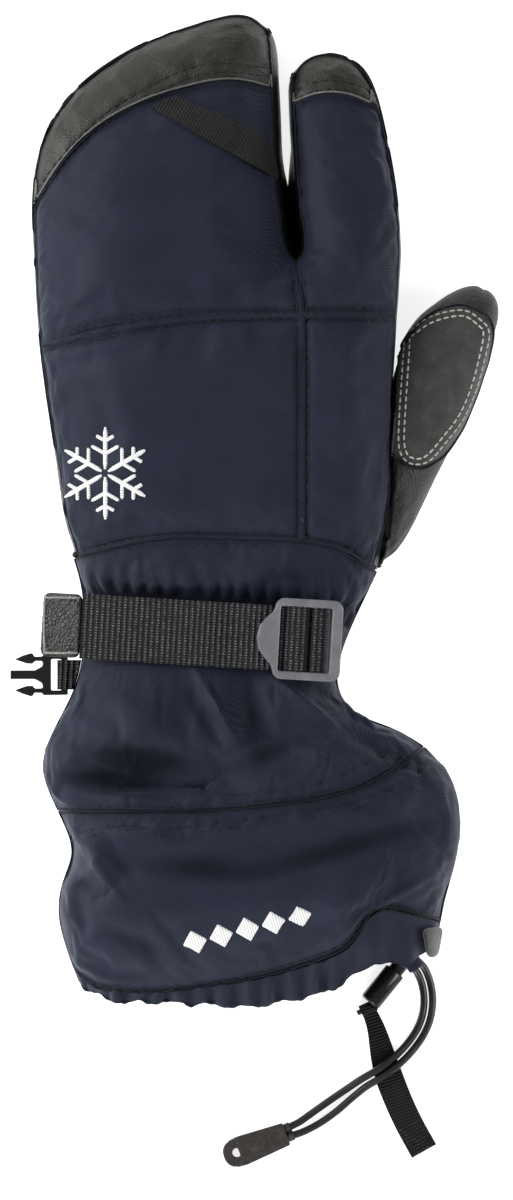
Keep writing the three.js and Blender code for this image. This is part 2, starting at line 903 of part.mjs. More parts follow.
// A side strip through stations: from the seam on the back, round the side, to the palm's seam
const STRIP_TURNS = table(
  ["angle", "below"],
  [
    [0, false],
    [30, false],
    [60, false],
    [90, false],
    [45, true],
    [0, true],
  ],
);
function strip(columns, wall) {
  const outer = [];
  const inner = [];
  for (const { mid, outward, top, bottom } of columns) {
    const edge = readTable(HEIGHTS, "edge", mid.y);
    const level = new THREE.Vector3(outward.x, outward.y, 0);
    const middle = new THREE.Vector3(mid.x, mid.y, edge);
    const thumbHalf = mid.x > partingX(mid.y);
    const ends = [shellPoint(top.x, top.y, true, thumbHalf), shellPoint(bottom.x, bottom.y, false, thumbHalf)];
    const points = STRIP_TURNS.map(({ angle, below }) => {
      const { point, normal } = ends[below ? 1 : 0];
      const turn = THREE.MathUtils.degToRad(angle);
      const x = mix(point.x, middle.x, Math.sin(turn));
      const y = mix(point.y, middle.y, Math.sin(turn));
      const z = mix(middle.z, point.z, Math.cos(turn));
      const way = level.clone().multiplyScalar(Math.sin(turn)).addScaledVector(normal, Math.cos(turn));
      return { at: new THREE.Vector3(x, y, z), way: way.normalize() };
    });
    outer.push(points.map(({ at }) => at.clone()));
    inner.push(points.map(({ at, way }) => at.clone().addScaledVector(way, -wall)));
  }
  openSeams(outer, inner);
  return wallFrom(outer, inner);
}

const group = new THREE.Group();
function add(name, geometry, material, parent = group) {
  const mesh = new THREE.Mesh(geometry, new THREE.MeshStandardMaterial(COLOURS[material]));
  mesh.name = name;
  parent.add(mesh);
  return mesh;
}

// Seams of the hand as shared runs of points
const tops = (list) => list.map((s) => s.top);
const bottoms = (list) => list.map((s) => s.bottom);
const mids = (list) => list.map((s) => s.mid);
const SEAM_PIECES = 120;

const runs = {
  littleHand: stations("wristLeft", "knuckleLeft", HAND_ROWS),
  littleFinger: stations("knuckleLeft", "capLeft", FINGER_ROWS + CROTCH_ROWS),
  littleCap: stations("capLeft", "capCorner", CAP_ROWS),
  mittenTip: stations("capCorner", "mittenCorner", MITTEN_COLUMNS),
  mittenInner: stations("capRight", "mittenCorner", CAP_ROWS),
  gapMitten: stations("crotch", "capRight", FINGER_ROWS, "start"),
  gapIndex: stations("crotch", "indexCapLeft", FINGER_ROWS, "start"),
  indexInner: stations("indexCapLeft", "indexCorner", INDEX_CAP_ROWS),
  indexTip: stations("indexCorner", "indexCapCorner", INDEX_COLUMNS),
  indexOuter: stations("indexCapRight", "indexCapCorner", INDEX_CAP_ROWS),
  thumbFinger: stations("knuckleRight", "indexCapRight", FINGER_ROWS + CROTCH_ROWS),
  thumbHand: stations("wristRight", "knuckleRight", HAND_ROWS),
};
const joined = (...lists) => lists.flatMap((list, i) => (i === 0 ? list : list.slice(1)));

function crossSeam(rows, leftEnd, rightEnd) {
  return curveThrough([leftEnd, ...rows, rightEnd], SEAM_PIECES);
}
const knuckle = crossSeam(KNUCKLE_SEAM, end("knuckleLeft").top, end("knuckleRight").top);
const wrist = crossSeam(WRIST_SEAM, end("wristLeft").top, end("wristRight").top);
const palmWrist = crossSeam(PALM_WRIST_SEAM, end("wristLeft").bottom, end("wristRight").bottom);
const knuckleMeet = flat(INDEX_SEAM[1]);
const wristMeet = flat(INDEX_SEAM[3]);
const palmWristMeet = flat(PALM_WRIST_SEAM[1]);
const indexSeam = curveThrough([end("crotch").top, ...INDEX_SEAM], SEAM_PIECES);
const palmSeam = curveThrough(
  [end("crotch").bottom, ...INDEX_SEAM.slice(0, 3), PALM_WRIST_SEAM[1]],
  SEAM_PIECES,
);

const mittenKnuckle = walk(stretch(knuckle, end("knuckleLeft").top, knuckleMeet), MITTEN_COLUMNS, "start");
const indexKnuckle = walk(stretch(knuckle, knuckleMeet, end("knuckleRight").top), INDEX_COLUMNS, "end");
const mittenWrist = walk(stretch(wrist, end("wristLeft").top, wristMeet), MITTEN_COLUMNS, "start");
const indexWrist = walk(stretch(wrist, wristMeet, end("wristRight").top), INDEX_COLUMNS, "end");
const seamHand = walk(stretch(indexSeam, wristMeet, knuckleMeet), HAND_ROWS);
const seamCrotch = walk(stretch(indexSeam, knuckleMeet, end("crotch").top), CROTCH_ROWS);
const mittenCapSeam = walk(
  crossSeam(MITTEN_CAP_SEAM, end("capLeft").top, end("capRight").top),
  MITTEN_COLUMNS,
);
const indexCapSeam = walk(
  crossSeam(INDEX_CAP_SEAM, end("indexCapLeft").top, end("indexCapRight").top),
  INDEX_COLUMNS,
);

// Back of the hand and fingers
add(
  "mitten_back",
  panel(
    patch(
      mittenKnuckle,
      mittenCapSeam,
      tops(runs.littleFinger),
      joined(seamCrotch, tops(runs.gapMitten)),
      "start",
    ),
  ),
  "navy",
);
add(
  "index_back",
  panel(
    patch(
      indexKnuckle,
      indexCapSeam,
      joined(seamCrotch, tops(runs.gapIndex)),
      tops(runs.thumbFinger),
      "end",
    ),
  ),
  "navy",
);
add(
  "hand_back",
  panel(patch(mittenWrist, mittenKnuckle, tops(runs.littleHand), seamHand, "start")),
  "navy",
);
const indexHandGrid = patch(indexWrist, indexKnuckle, seamHand, tops(runs.thumbHand), "end");
add("index_hand_back", panel(indexHandGrid), "navy");
add(
  "mitten_cap",
  panel(
    patch(mittenCapSeam, tops(runs.mittenTip), tops(runs.littleCap), tops(runs.mittenInner), "even"),
    { lift: CAP_LIFT },
  ),
  "leather",
);
add(
  "index_cap",
  panel(
    patch(indexCapSeam, tops(runs.indexTip), tops(runs.indexInner), tops(runs.indexOuter), "even"),
    { lift: CAP_LIFT },
  ),
  "leather",
);

// Side strips
add(
  "side_gusset_little",
  strip(joined(runs.littleHand, runs.littleFinger, runs.littleCap, runs.mittenTip), HAND_WALL),
  "leather",
);
add(
  "finger_fourchette",
  strip(
    joined(
      [...runs.mittenInner].reverse(),
      [...runs.gapMitten].reverse(),
      runs.gapIndex,
      runs.indexInner,
    ),
    HAND_WALL,
  ),
  "leather",
);
const sideIndex = strip(
  joined(
    runs.indexTip,
    [...runs.indexOuter].reverse(),
    [...runs.thumbFinger].reverse(),
    [...runs.thumbHand].reverse(),
  ),
  HAND_WALL,
);
add("side_gusset_index", sideIndex, "leather");

// Palm
const palmSeamHand = walk(stretch(palmSeam, palmWristMeet, knuckleMeet), HAND_ROWS);
const palmSeamCrotch = walk(stretch(palmSeam, knuckleMeet, end("crotch").bottom), CROTCH_ROWS);
const palmWristLeft = walk(
  stretch(palmWrist, end("wristLeft").bottom, palmWristMeet),
  MITTEN_COLUMNS,
  "start",
);
const palmWristRight = walk(
  stretch(palmWrist, palmWristMeet, end("wristRight").bottom),
  INDEX_COLUMNS,
  "end",
);
add(
  "palm_mitten",
  panel(
    patch(
      palmWristLeft,
      bottoms(runs.mittenTip),
      bottoms(joined(runs.littleHand, runs.littleFinger, runs.littleCap)),
      joined(palmSeamHand, palmSeamCrotch, bottoms(joined(runs.gapMitten, runs.mittenInner))),
      "even",
    ),
    { back: false },
  ),
  "leather",
);
add(
  "palm_index",
  panel(
    patch(
      palmWristRight,
      bottoms(runs.indexTip),
      joined(palmSeamHand, palmSeamCrotch, bottoms(joined(runs.gapIndex, runs.indexInner))),
      bottoms(joined(runs.thumbHand, runs.thumbFinger, runs.indexOuter)),
      "even",
    ),
    { back: false },
  ),
  "leather",
);

// Gauntlet
const acrossTop = [end("wristLeft").mid, ...wrist, end("wristRight").mid];
const acrossTopPalm = [end("wristLeft").mid, ...palmWrist, end("wristRight").mid];
const cuff = crossSeam(CUFF_SEAM, end("cuffLeft").mid, end("cuffRight").mid);
const palmCuff = crossSeam(PALM_CUFF_SEAM, end("cuffLeft").mid, end("cuffRight").mid);
const hem = crossSeam(HEM_EDGE, end("hemLeft").mid, end("hemRight").mid);
const ruffle = crossSeam(RUFFLE_EDGE, end("ruffleLeft").mid, end("ruffleRight").mid);
const palmHem = ruffle.map((p) => plan(p.x, p.y + PALM_HEM_RISE));
palmHem[0] = end("ruffleLeft").mid;
palmHem[palmHem.length - 1] = end("ruffleRight").mid;

const upperLeft = mids(stations("cuffLeft", "wristLeft", UPPER_ROWS));
const upperRight = mids(stations("cuffRight", "wristRight", UPPER_ROWS));
const lowerLeft = mids(stations("hemLeft", "cuffLeft", LOWER_ROWS));
const lowerRight = mids(stations("hemRight", "cuffRight", LOWER_ROWS));
add(
  "gauntlet_upper_back",
  panel(
    patch(
      walk(cuff, BACK_COLUMNS, "both"),
      walk(acrossTop, BACK_COLUMNS, "both"),
      upperLeft,
      upperRight,
    ),
    { wall: CUFF_WALL },
  ),
  "navy",
);
add(
  "gauntlet_lower_back",
  panel(
    patch(walk(hem, BACK_COLUMNS, "both"), walk(cuff, BACK_COLUMNS, "both"), lowerLeft, lowerRight),
    { wall: CUFF_WALL },
  ),
  "navy",
);
add(
  "gauntlet_upper_palm",
  panel(
    patch(
      walk(palmCuff, PALM_COLUMNS, "both"),
      walk(acrossTopPalm, PALM_COLUMNS, "both"),
      upperLeft,
      upperRight,
    ),
    { back: false, wall: CUFF_WALL },
  ),
  "navy",
);
add(
  "gauntlet_lower_palm",
  panel(
    patch(
      walk(palmHem, PALM_COLUMNS, "both"),
      walk(palmCuff, PALM_COLUMNS, "both"),
      mids(stations("ruffleLeft", "cuffLeft", LOWER_ROWS)),
      mids(stations("ruffleRight", "cuffRight", LOWER_ROWS)),
    ),
    { back: false, wall: CUFF_WALL },
  ),
  "navy",
);

// Ruffled facing along the hem
const halved = (line) =>
  line.flatMap((p, i) => (i === 0 ? [p] : [p.clone().lerp(line[i - 1], 0.5), p]));
const hemLine = halved(walk(hem, BACK_COLUMNS, "both"));
const HEM_COLUMNS = hemLine.length - 1;
const hemGrid = patch(
  walk(ruffle, HEM_COLUMNS, "both"),
  hemLine,
  mids(stations("ruffleLeft", "hemLeft", HEM_ROWS)),
  mids(stations("ruffleRight", "hemRight", HEM_ROWS)),
  "even",
);
hemGrid[HEM_ROWS].forEach((p, j) => p.lerp(hemGrid[HEM_ROWS - 1][j], HEM_DROP));
const hemOuter = [];
const hemInner = [];
hemGrid.forEach((row, i) => {
  const free = 1 - i / HEM_ROWS;
  const points = row.map((p, j) => {
    const { point, normal } = shellPoint(p.x, p.y, true);
    const inside = smooth(Math.min(j, HEM_COLUMNS - j) / 4);
    const turn = (2 * Math.PI * p.x) / RUFFLES.every;
    point.addScaledVector(normal, RUFFLES.height * free * inside * Math.sin(turn) - LAY_GAP);
    point.y += RUFFLES.sway * free * inside * Math.sin(1.7 * turn);
    return { point, normal };
  });
  hemOuter.push(points.map(({ point }) => point.clone()));
  hemInner.push(points.map(({ point, normal }) => point.clone().addScaledVector(normal, -HEM_WALL)));
});
openSeams(hemOuter, hemInner);
add("hem_band", wallFrom(hemOuter, hemInner), "navy");

// Ribbon across the mitten's back
const RIBBON_LENGTH_PIECES = 12;
const ribbonTop = walk(curveThrough(RIBBON_UPPER, SEAM_PIECES), RIBBON_LENGTH_PIECES);
const ribbonLow = walk(curveThrough(RIBBON_LOWER, SEAM_PIECES), RIBBON_LENGTH_PIECES);
const ribbonGrid = [0, 0.5, 1].map((t) => ribbonLow.map((p, j) => p.clone().lerp(ribbonTop[j], t)));
add(
  "back_ribbon",
  panel(ribbonGrid, { wall: RIBBON_WALL, lift: RIBBON_WALL + RIBBON_CLEAR }),
  "webbing",
);

// Solids for cutting, and cut solids back as geometry
function solidOf(geometry) {
  return new wasm.Manifold(
    new wasm.Mesh({
      numProp: 3,
      vertProperties: geometry.attributes.position.array,
      triVerts: new Uint32Array(geometry.index.array),
    }),
  );
}
function geometryOf(solid) {
  const mesh = solid.getMesh();
  const geometry = new THREE.BufferGeometry();
  geometry.setAttribute("position", new THREE.BufferAttribute(mesh.vertProperties, 3));
  geometry.setIndex(new THREE.BufferAttribute(mesh.triVerts, 1));
  return geometry;
}
const largest = (solid) => solid.decompose().sort((a, b) => b.volume() - a.volume())[0];

// Rings of points joined into a closed tube, each end shut by a fan
function tubeFrom(rings) {
  const triangles = [];
  const sides = rings[0].length;
  const middle = (ring) =>
    ring.reduce((sum, p) => sum.add(p), new THREE.Vector3()).divideScalar(ring.length);
  for (let i = 0; i < rings.length - 1; i += 1) {
    for (let j = 0; j < sides; j += 1) {
      const k = (j + 1) % sides;
      triangles.push([rings[i][j], rings[i][k], rings[i + 1][k]]);
      triangles.push([rings[i][j], rings[i + 1][k], rings[i + 1][j]]);
    }
  }
  const first = middle(rings[0]);
  const last = middle(rings.at(-1));
  for (let j = 0; j < sides; j += 1) {
    const k = (j + 1) % sides;
    triangles.push([first, rings[0][k], rings[0][j]]);
    triangles.push([last, rings.at(-1)[j], rings.at(-1)[k]]);
  }
  return meshFrom(triangles);
}

// Thumb: points on oval sections across its axis
function thumbPoint({ along, centre, half, bottom, top }, angle) {
  const bend = (t) => Math.sign(t) * Math.abs(t) ** (2 / THUMB_POWER);
  const across = centre + half * bend(Math.cos(angle));
  const z = (top + bottom) / 2 + ((top - bottom) / 2) * bend(Math.sin(angle));
  return new THREE.Vector3(
    THUMB_ROOT.x + along * Math.sin(THUMB_TURN) + across * Math.cos(THUMB_TURN),
    THUMB_ROOT.y + along * Math.cos(THUMB_TURN) - across * Math.sin(THUMB_TURN),
    z,
  );
}
const thumbRing = (section) =>
  Array.from({ length: THUMB_SIDES }, (_, j) =>
    thumbPoint(section, (2 * Math.PI * (j + 0.5)) / THUMB_SIDES),
  );
const shrunk = (section, floor) => ({
  along: Math.min(section.along, THUMB_HOLLOW_END),
  centre: section.centre,
  half: section.half - THUMB_WALL,
  bottom: section.bottom + floor,
  top: section.top - THUMB_WALL,
});
const hollowSections = THUMB_SECTIONS.filter((section) => section.half > 2 * THUMB_WALL);
const thumbOutside = solidOf(tubeFrom(THUMB_SECTIONS.map(thumbRing)));
const thumbInside = solidOf(tubeFrom(hollowSections.map((s) => thumbRing(shrunk(s, THUMB_WALL)))));
const thumbDoorway = solidOf(
  tubeFrom(hollowSections.map((s) => thumbRing(shrunk(s, HAND_WALL + SEAM_GAP)))),
);

// The thumb side of the hand as one solid, a seam gap larger than it is
const HAND_BLOCK_INNER = 30;
const HAND_BLOCK_FLOOR = -3;
const HAND_BLOCK_END = -74;
const HAND_BLOCK_TOP = 58;
function handBlockRing({ mid, outward, top, bottom }) {
  const edge = readTable(HEIGHTS, "edge", mid.y);
  const back = shellPoint(top.x, top.y, true, true);
  const palm = shellPoint(bottom.x, bottom.y, false, true);
  const crown = shellPoint(mix(HAND_BLOCK_INNER, top.x, 0.5), top.y, true, true).point.z;
  const ring = [
    new THREE.Vector3(HAND_BLOCK_INNER, mid.y, HAND_BLOCK_FLOOR),
    new THREE.Vector3(HAND_BLOCK_INNER, mid.y, crown + 1),
    new THREE.Vector3(mix(HAND_BLOCK_INNER, top.x, 0.6), top.y, crown + 1),
  ];
  for (const { angle, below } of STRIP_TURNS) {
    const turn = THREE.MathUtils.degToRad(angle);
    const seam = below ? palm.point : back.point;
    const x = mix(seam.x, mid.x, Math.sin(turn)) + outward.x * SEAM_GAP;
    const y = mix(seam.y, mid.y, Math.sin(turn)) + outward.y * SEAM_GAP;
    ring.push(new THREE.Vector3(x, y, mix(edge, seam.z, Math.cos(turn))));
  }
  ring.push(new THREE.Vector3(bottom.x, bottom.y, HAND_BLOCK_FLOOR));
  return ring;
}
const blockFrom = nearest(perimeter, 46, HAND_BLOCK_END).at;
const blockTo = nearest(perimeter, 66, HAND_BLOCK_TOP).at;
const HAND_BLOCK_PIECES = 22;
const handBlock = solidOf(
  tubeFrom(
    Array.from({ length: HAND_BLOCK_PIECES + 1 }, (_, k) =>
      handBlockRing(station(mix(blockFrom, blockTo, k / HAND_BLOCK_PIECES))),
    ),
  ),
);
add("thumb_shell", geometryOf(largest(thumbOutside.subtract(thumbInside).subtract(handBlock))), "leather");

// Suede patch over the thumb
const sectionAt = (along) => {
  const rows = THUMB_SECTIONS.map((row) => ({ ...row, y: row.along }));
  const read = (column) => readTable(rows, column, along);
  return {
    along,
    centre: read("centre"),
    half: read("half"),
    bottom: read("bottom"),
    top: read("top"),
  };
};
function thumbSurface(along, angle) {
  const at = thumbPoint(sectionAt(along), angle);
  const turnStep = 0.02;
  const alongStep = 0.5;
  const round = thumbPoint(sectionAt(along), angle + turnStep).sub(at);
  const onward = thumbPoint(sectionAt(along + alongStep), angle).sub(at);
  return { at, normal: round.cross(onward).normalize().negate() };
}
const patchOuter = [];
const patchInner = [];
for (const { along, right, left } of PATCH_ROWS) {
  const row = Array.from({ length: PATCH_COLUMNS + 1 }, (_, j) =>
    thumbSurface(along, THREE.MathUtils.degToRad(mix(right, left, j / PATCH_COLUMNS))),
  );
  const lifted = (height) => row.map(({ at, normal }) => at.clone().addScaledVector(normal, height));
  patchOuter.push(lifted(PATCH_CLEAR + PATCH_WALL));
  patchInner.push(lifted(PATCH_CLEAR));
}
const patchSolid = solidOf(wallFrom(patchOuter, patchInner));
add("thumb_patch", geometryOf(largest(patchSolid.subtract(handBlock))), "suede");

// The hand's side and palm open into the thumb
for (const name of ["side_gusset_index", "palm_index"]) {
  const mesh = group.getObjectByName(name);
  mesh.geometry = geometryOf(largest(solidOf(mesh.geometry).subtract(thumbDoorway)));
}

// Straps: a centre line with a thickness, across a width
function stripAlong(line, thick, acrossAt) {
  const outer = [];
  const inner = [];
  line.forEach((p, i) => {
    const before = line[Math.max(i - 1, 0)];
    const after = line[Math.min(i + 1, line.length - 1)];
    const level = plan(after.x - before.x, after.y - before.y).normalize();
    const shift = plan(-level.y, level.x).multiplyScalar(thick / 2);
    const across = acrossAt(p, i);
    outer.push(across.map(([x, y]) => new THREE.Vector3(x + shift.x, y, p.y + shift.y)));
    inner.push(across.map(([x, y]) => new THREE.Vector3(x - shift.x, y, p.y - shift.y)));
  });
  return wallFrom(outer, inner);
}
const smoothLine = (points, perPiece) =>
  new THREE.CatmullRomCurve3(
    points.map((p) => new THREE.Vector3(p.x, p.y, 0)),
    false,
    "centripetal",
  )
    .getPoints((points.length - 1) * perPiece)
    .map(flat);

const strapFrame = new THREE.Group();
strapFrame.position.set(STRAP.x, STRAP.y, 0);
strapFrame.rotation.z = STRAP.turn;
group.add(strapFrame);
const strapPlan = (along, across) =>
  plan(along, across).rotateAround(plan(0, 0), STRAP.turn).add(plan(STRAP.x, STRAP.y));
function backUnder(along, halfWidth) {
  const heights = [-1, -0.5, 0, 0.5, 1].map((share) => {
    const p = strapPlan(along, share * (halfWidth + STRAP.margin));
    return heightAt(p.x, p.y, true, p.x > partingX(p.y));
  });
  return Math.max(...heights);
}
const layersBelowBuckle = 2 * (STRAP.thick + SEAM_GAP) + LAY_GAP;
const buckleSlope = Math.tan(BUCKLE.tilt);
const buckleHeights = BUCKLE.feelers.map(
  (from) => backUnder(BUCKLE.along + from, BUCKLE.width / 2) + from * buckleSlope,
);
const buckleZ = Math.max(...buckleHeights) + layersBelowBuckle;
const inBuckle = ({ along, height }) =>
  plan(BUCKLE.along + along, buckleZ - along * buckleSlope + height);

const tailHeight = LAY_GAP + 1.5 * STRAP.thick + SEAM_GAP;
const leaveZ = backUnder(STRAP.leaves, STRAP.width / 2) + tailHeight;
const tailLine = [];
for (let u = SEAM_GAP; u < STRAP.leaves; u += STRAP.step) {
  tailLine.push(plan(u, leaveZ - STRAP.droop * (STRAP.leaves - u) ** 2));
}
for (let u = STRAP.leaves; u < BUCKLE.along - STRAP.upperStops; u += STRAP.step) {
  tailLine.push(plan(u, backUnder(u, STRAP.width / 2) + tailHeight));
}
const lowerLine = [];
for (let u = BUCKLE.along - STRAP.lowerStarts; u > STRAP.sewnAt; u -= STRAP.step) {
  lowerLine.push(plan(u, backUnder(u, STRAP.width / 2) + LAY_GAP + STRAP.thick / 2));
}
const strapLine = smoothLine([...tailLine, ...STRAP_IN_BUCKLE.map(inBuckle), ...lowerLine], 1);
const strapAcross = (p) => [
  [p.x, -STRAP.width / 2],
  [p.x, STRAP.width / 2],
];
add("wrist_strap", stripAlong(strapLine, STRAP.thick, strapAcross), "webbing", strapFrame);
const anchorFoot = plan(
  BUCKLE.along + ANCHOR_FOOT,
  backUnder(BUCKLE.along + ANCHOR_FOOT, STRAP.width / 2) + LAY_GAP,
);
const anchorLine = smoothLine([...ANCHOR_IN_BUCKLE.map(inBuckle), anchorFoot], 2);
add("strap_anchor", stripAlong(anchorLine, STRAP.thick, strapAcross), "webbing", strapFrame);

// Rounded plate outline, for straps' fittings
function roundedRectangle(length, width, corner, shape = new THREE.Shape()) {
  const x = length / 2;
  const y = width / 2;
  shape.moveTo(-x + corner, -y);
  shape.lineTo(x - corner, -y);
  shape.absarc(x - corner, -y + corner, corner, -Math.PI / 2, 0);
  shape.lineTo(x, y - corner);
  shape.absarc(x - corner, y - corner, corner, 0, Math.PI / 2);
  shape.lineTo(-x + corner, y);
  shape.absarc(-x + corner, y - corner, corner, Math.PI / 2, Math.PI);
  shape.lineTo(-x, -y + corner);
  shape.absarc(-x + corner, -y + corner, corner, Math.PI, 1.5 * Math.PI);
  return shape;
}
function slab(shape, depth, curveSegments = 4) {
  const extruded = new THREE.ExtrudeGeometry(shape, { depth, bevelEnabled: false, curveSegments });
  extruded.deleteAttribute("normal");
  extruded.deleteAttribute("uv");
  return mergeVertices(extruded, 1e-4);
}

const tabGeometry = slab(
  roundedRectangle(PULL_TAB.length, PULL_TAB.width, PULL_TAB.corner),
  PULL_TAB.thick,
);
tabGeometry.translate(-PULL_TAB.length / 2, 0, -PULL_TAB.thick / 2);
const pullTab = add("strap_pull_tab", tabGeometry, "leather", strapFrame);
pullTab.position.set(0, 0, strapLine[0].y);
pullTab.rotation.y = -Math.atan(2 * STRAP.droop * STRAP.leaves);

// Ladder lock: a frame with a grip, and a lower bar across its window
function buckleOutline() {
  const x = BUCKLE.length / 2;
  const y = BUCKLE.width / 2;
  const shape = new THREE.Shape();
  shape.moveTo(x - BUCKLE.corner, -y);
  shape.absarc(x - BUCKLE.corner, -y + BUCKLE.corner, BUCKLE.corner, -Math.PI / 2, 0);
  shape.absarc(x - BUCKLE.corner, y - BUCKLE.corner, BUCKLE.corner, 0, Math.PI / 2);
  shape.lineTo(-x + BUCKLE.corner, y);
  shape.absarc(-x + BUCKLE.corner, y - BUCKLE.corner, BUCKLE.corner, Math.PI / 2, Math.PI);
  const gripX = -x - BUCKLE.bump;
  shape.bezierCurveTo(-x, y * 0.55, gripX, y * 0.5, gripX, 0);
  shape.bezierCurveTo(gripX, -y * 0.5, -x, -y * 0.55, -x, -y + BUCKLE.corner);
  shape.absarc(-x + BUCKLE.corner, -y + BUCKLE.corner, BUCKLE.corner, Math.PI, 1.5 * Math.PI);
  return shape;
}
const frameShape = buckleOutline();
const windowPath = new THREE.Path();
const windowHalf = BUCKLE.width / 2 - BUCKLE.rail;
windowPath.moveTo(BUCKLE.windowFrom, -windowHalf);
windowPath.lineTo(BUCKLE.windowFrom, windowHalf);
windowPath.lineTo(BUCKLE.windowTo, windowHalf);
windowPath.lineTo(BUCKLE.windowTo, -windowHalf);
windowPath.closePath();
frameShape.holes.push(windowPath);
const barGeometry = new THREE.BoxGeometry(
  BUCKLE.barTo - BUCKLE.barFrom,
  BUCKLE.width - BUCKLE.rail,
  BUCKLE.barHigh - BUCKLE.barLow,
);
barGeometry.deleteAttribute("normal");
barGeometry.deleteAttribute("uv");
barGeometry.translate(
  (BUCKLE.barFrom + BUCKLE.barTo) / 2,
  0,
  (BUCKLE.barLow + BUCKLE.barHigh) / 2,
);
const frameSolid = solidOf(slab(frameShape, BUCKLE.thick));
const ladderLock = add(
  "ladder_lock",
  geometryOf(frameSolid.add(solidOf(mergeVertices(barGeometry, 1e-4)))),
  "buckle",
  strapFrame,
);
ladderLock.position.set(BUCKLE.along, 0, buckleZ);
ladderLock.rotation.y = BUCKLE.tilt;

// Side-release clip and the webbing that holds it to the gauntlet's side
const clipShape = new THREE.Shape();
CLIP_HALF.forEach(({ x, y }, i) => (i === 0 ? clipShape.moveTo(x, y) : clipShape.lineTo(x, y)));
[...CLIP_HALF].reverse().forEach(({ x, y }) => clipShape.lineTo(x, -y));
const slotPath = new THREE.Path();
slotPath.moveTo(CLIP_SLOT.from, -CLIP.slotHalf);
slotPath.lineTo(CLIP_SLOT.to, -CLIP.slotHalf);
slotPath.lineTo(CLIP_SLOT.to, CLIP.slotHalf);
slotPath.lineTo(CLIP_SLOT.from, CLIP.slotHalf);
slotPath.closePath();
clipShape.holes.push(slotPath);
const clip = add("side_release_clip", slab(clipShape, CLIP.thick), "plastic");
clip.position.set(CLIP.x, CLIP.y, CLIP.z - CLIP.thick / 2);

const clipEdge = readTable(HEIGHTS, "edge", CLIP.y);
const sideX = (y) => {
  const at = littleOuter.findIndex((p) => p.y > y);
  return littleOuter[at].x;
};
const clipLoop = CLIP_LOOP.map(({ x, z }) => {
  const rising = smooth((x - CLIP_WEBBING.rises) / (CLIP_LOOP[0].x - CLIP_WEBBING.rises));
  return plan(CLIP.x + x, CLIP.z + z + rising * (clipEdge - CLIP.z));
});
const clipLine = smoothLine(clipLoop, 1);
const clipBarX = CLIP.x + CLIP_WEBBING.leaves;
const clipEndX = clipLine[0].x;
add(
  "clip_webbing",
  stripAlong(clipLine, CLIP_WEBBING.thick, (p) =>
    [-1, 0, 1].map((share) => {
      const y = CLIP.y + share * CLIP_WEBBING.half;
      const squeeze = (sideX(y) - CLIP_WEBBING.short - clipBarX) / (clipEndX - clipBarX);
      return [p.x < clipBarX ? p.x : clipBarX + (p.x - clipBarX) * squeeze, y];
    }),
  ),
  "webbing",
);

// Small tab over the hem's thumb-side end
const tabSides = ["left", "right"].map((side) => TAB_SIDES.map((row) => plan(row[side], row.y)));
const tabGrid = tabSides[0].map((p, i) =>
  [0, 0.5, 1].map((t) => {
    const point = p.clone().lerp(tabSides[1][i], t);
    return plan(point.x, point.y - TAB_TIP * Math.sin(Math.PI * t) * (i / (TAB_SIDES.length - 1)));
  }),
);
add("cuff_tab", panel(tabGrid, { wall: TAB_WALL, lift: TAB_WALL + TAB_CLEAR }), "leather");

// Cord lock: turned parts whose axis lies along the table
function turned(profile) {
  const points = profile.map(([radius, y]) => plan(radius, y));
  const lathe = new THREE.LatheGeometry(points, LOCK.sides);
  lathe.deleteAttribute("normal");
  lathe.deleteAttribute("uv");
  return facingOut(dropSlivers(mergeVertices(lathe, 1e-4)));
}
function dropSlivers(geometry) {
  const kept = [];
  const index = geometry.index.array;
  for (let i = 0; i < index.length; i += 3) {
    const [a, b, c] = [index[i], index[i + 1], index[i + 2]];
    if (a !== b && b !== c && a !== c) kept.push(a, b, c);
  }
  geometry.setIndex(kept);
  return geometry;
}
const lockFrame = new THREE.Group();
lockFrame.position.set(LOCK.x, LOCK.y, BARREL.radius);
lockFrame.rotation.z = LOCK.turn - Math.PI / 2;
group.add(lockFrame);
add(
  "lock_barrel",
  turned([
    [0, 0],
    [BARREL.radius - BARREL.bevel, 0],
    [BARREL.radius, BARREL.bevel],
    [BARREL.radius, BARREL.length - BARREL.bevel],
    [BARREL.radius - BARREL.bevel / 2, BARREL.length],
    [BARREL.bore, BARREL.length],
    [BARREL.bore, BARREL.floor],
    [0, BARREL.floor],
  ]),
  "plastic",
  lockFrame,
);
const plunger = add(
  "lock_plunger",
  turned([
    [0, 0],
    [PLUNGER.radius, 0],
    [PLUNGER.radius, PLUNGER.length - PLUNGER.headLong],
    [PLUNGER.head, PLUNGER.length - PLUNGER.headLong + PLUNGER.bevel],
    [PLUNGER.head, PLUNGER.length - PLUNGER.bevel],
    [PLUNGER.head - PLUNGER.bevel, PLUNGER.length],
    [0, PLUNGER.length],
  ]),
  "plastic",
  lockFrame,
);
plunger.position.y = BARREL.length + PLUNGER.out - PLUNGER.length;

// Drawcord strands on both sides of the route's middle line
function strand(side) {
  const points = CORD_ROUTE.map((p, i) => {
    const before = CORD_ROUTE[Math.max(i - 1, 0)];
    const after = CORD_ROUTE[Math.min(i + 1, CORD_ROUTE.length - 1)];
    const away = plan(-(after.y - before.y), after.x - before.x).setLength(side * p.split);
    return new THREE.Vector3(p.x + away.x, p.y + away.y, p.z);
  });
  const circle = new THREE.Shape();
  circle.absarc(0, 0, CORD_RADIUS, 0, 2 * Math.PI);
  const tube = new THREE.ExtrudeGeometry(circle, {
    steps: CORD_STEPS,
    curveSegments: CORD_SIDES / 2,
    extrudePath: new THREE.CatmullRomCurve3(points, false, "centripetal"),
  });
  tube.deleteAttribute("normal");
  tube.deleteAttribute("uv");
  return facingOut(dropSlivers(mergeVertices(tube, 1e-3)));
}
add("drawcord_inner", strand(-1), "cord");
add("drawcord_outer", strand(1), "cord");

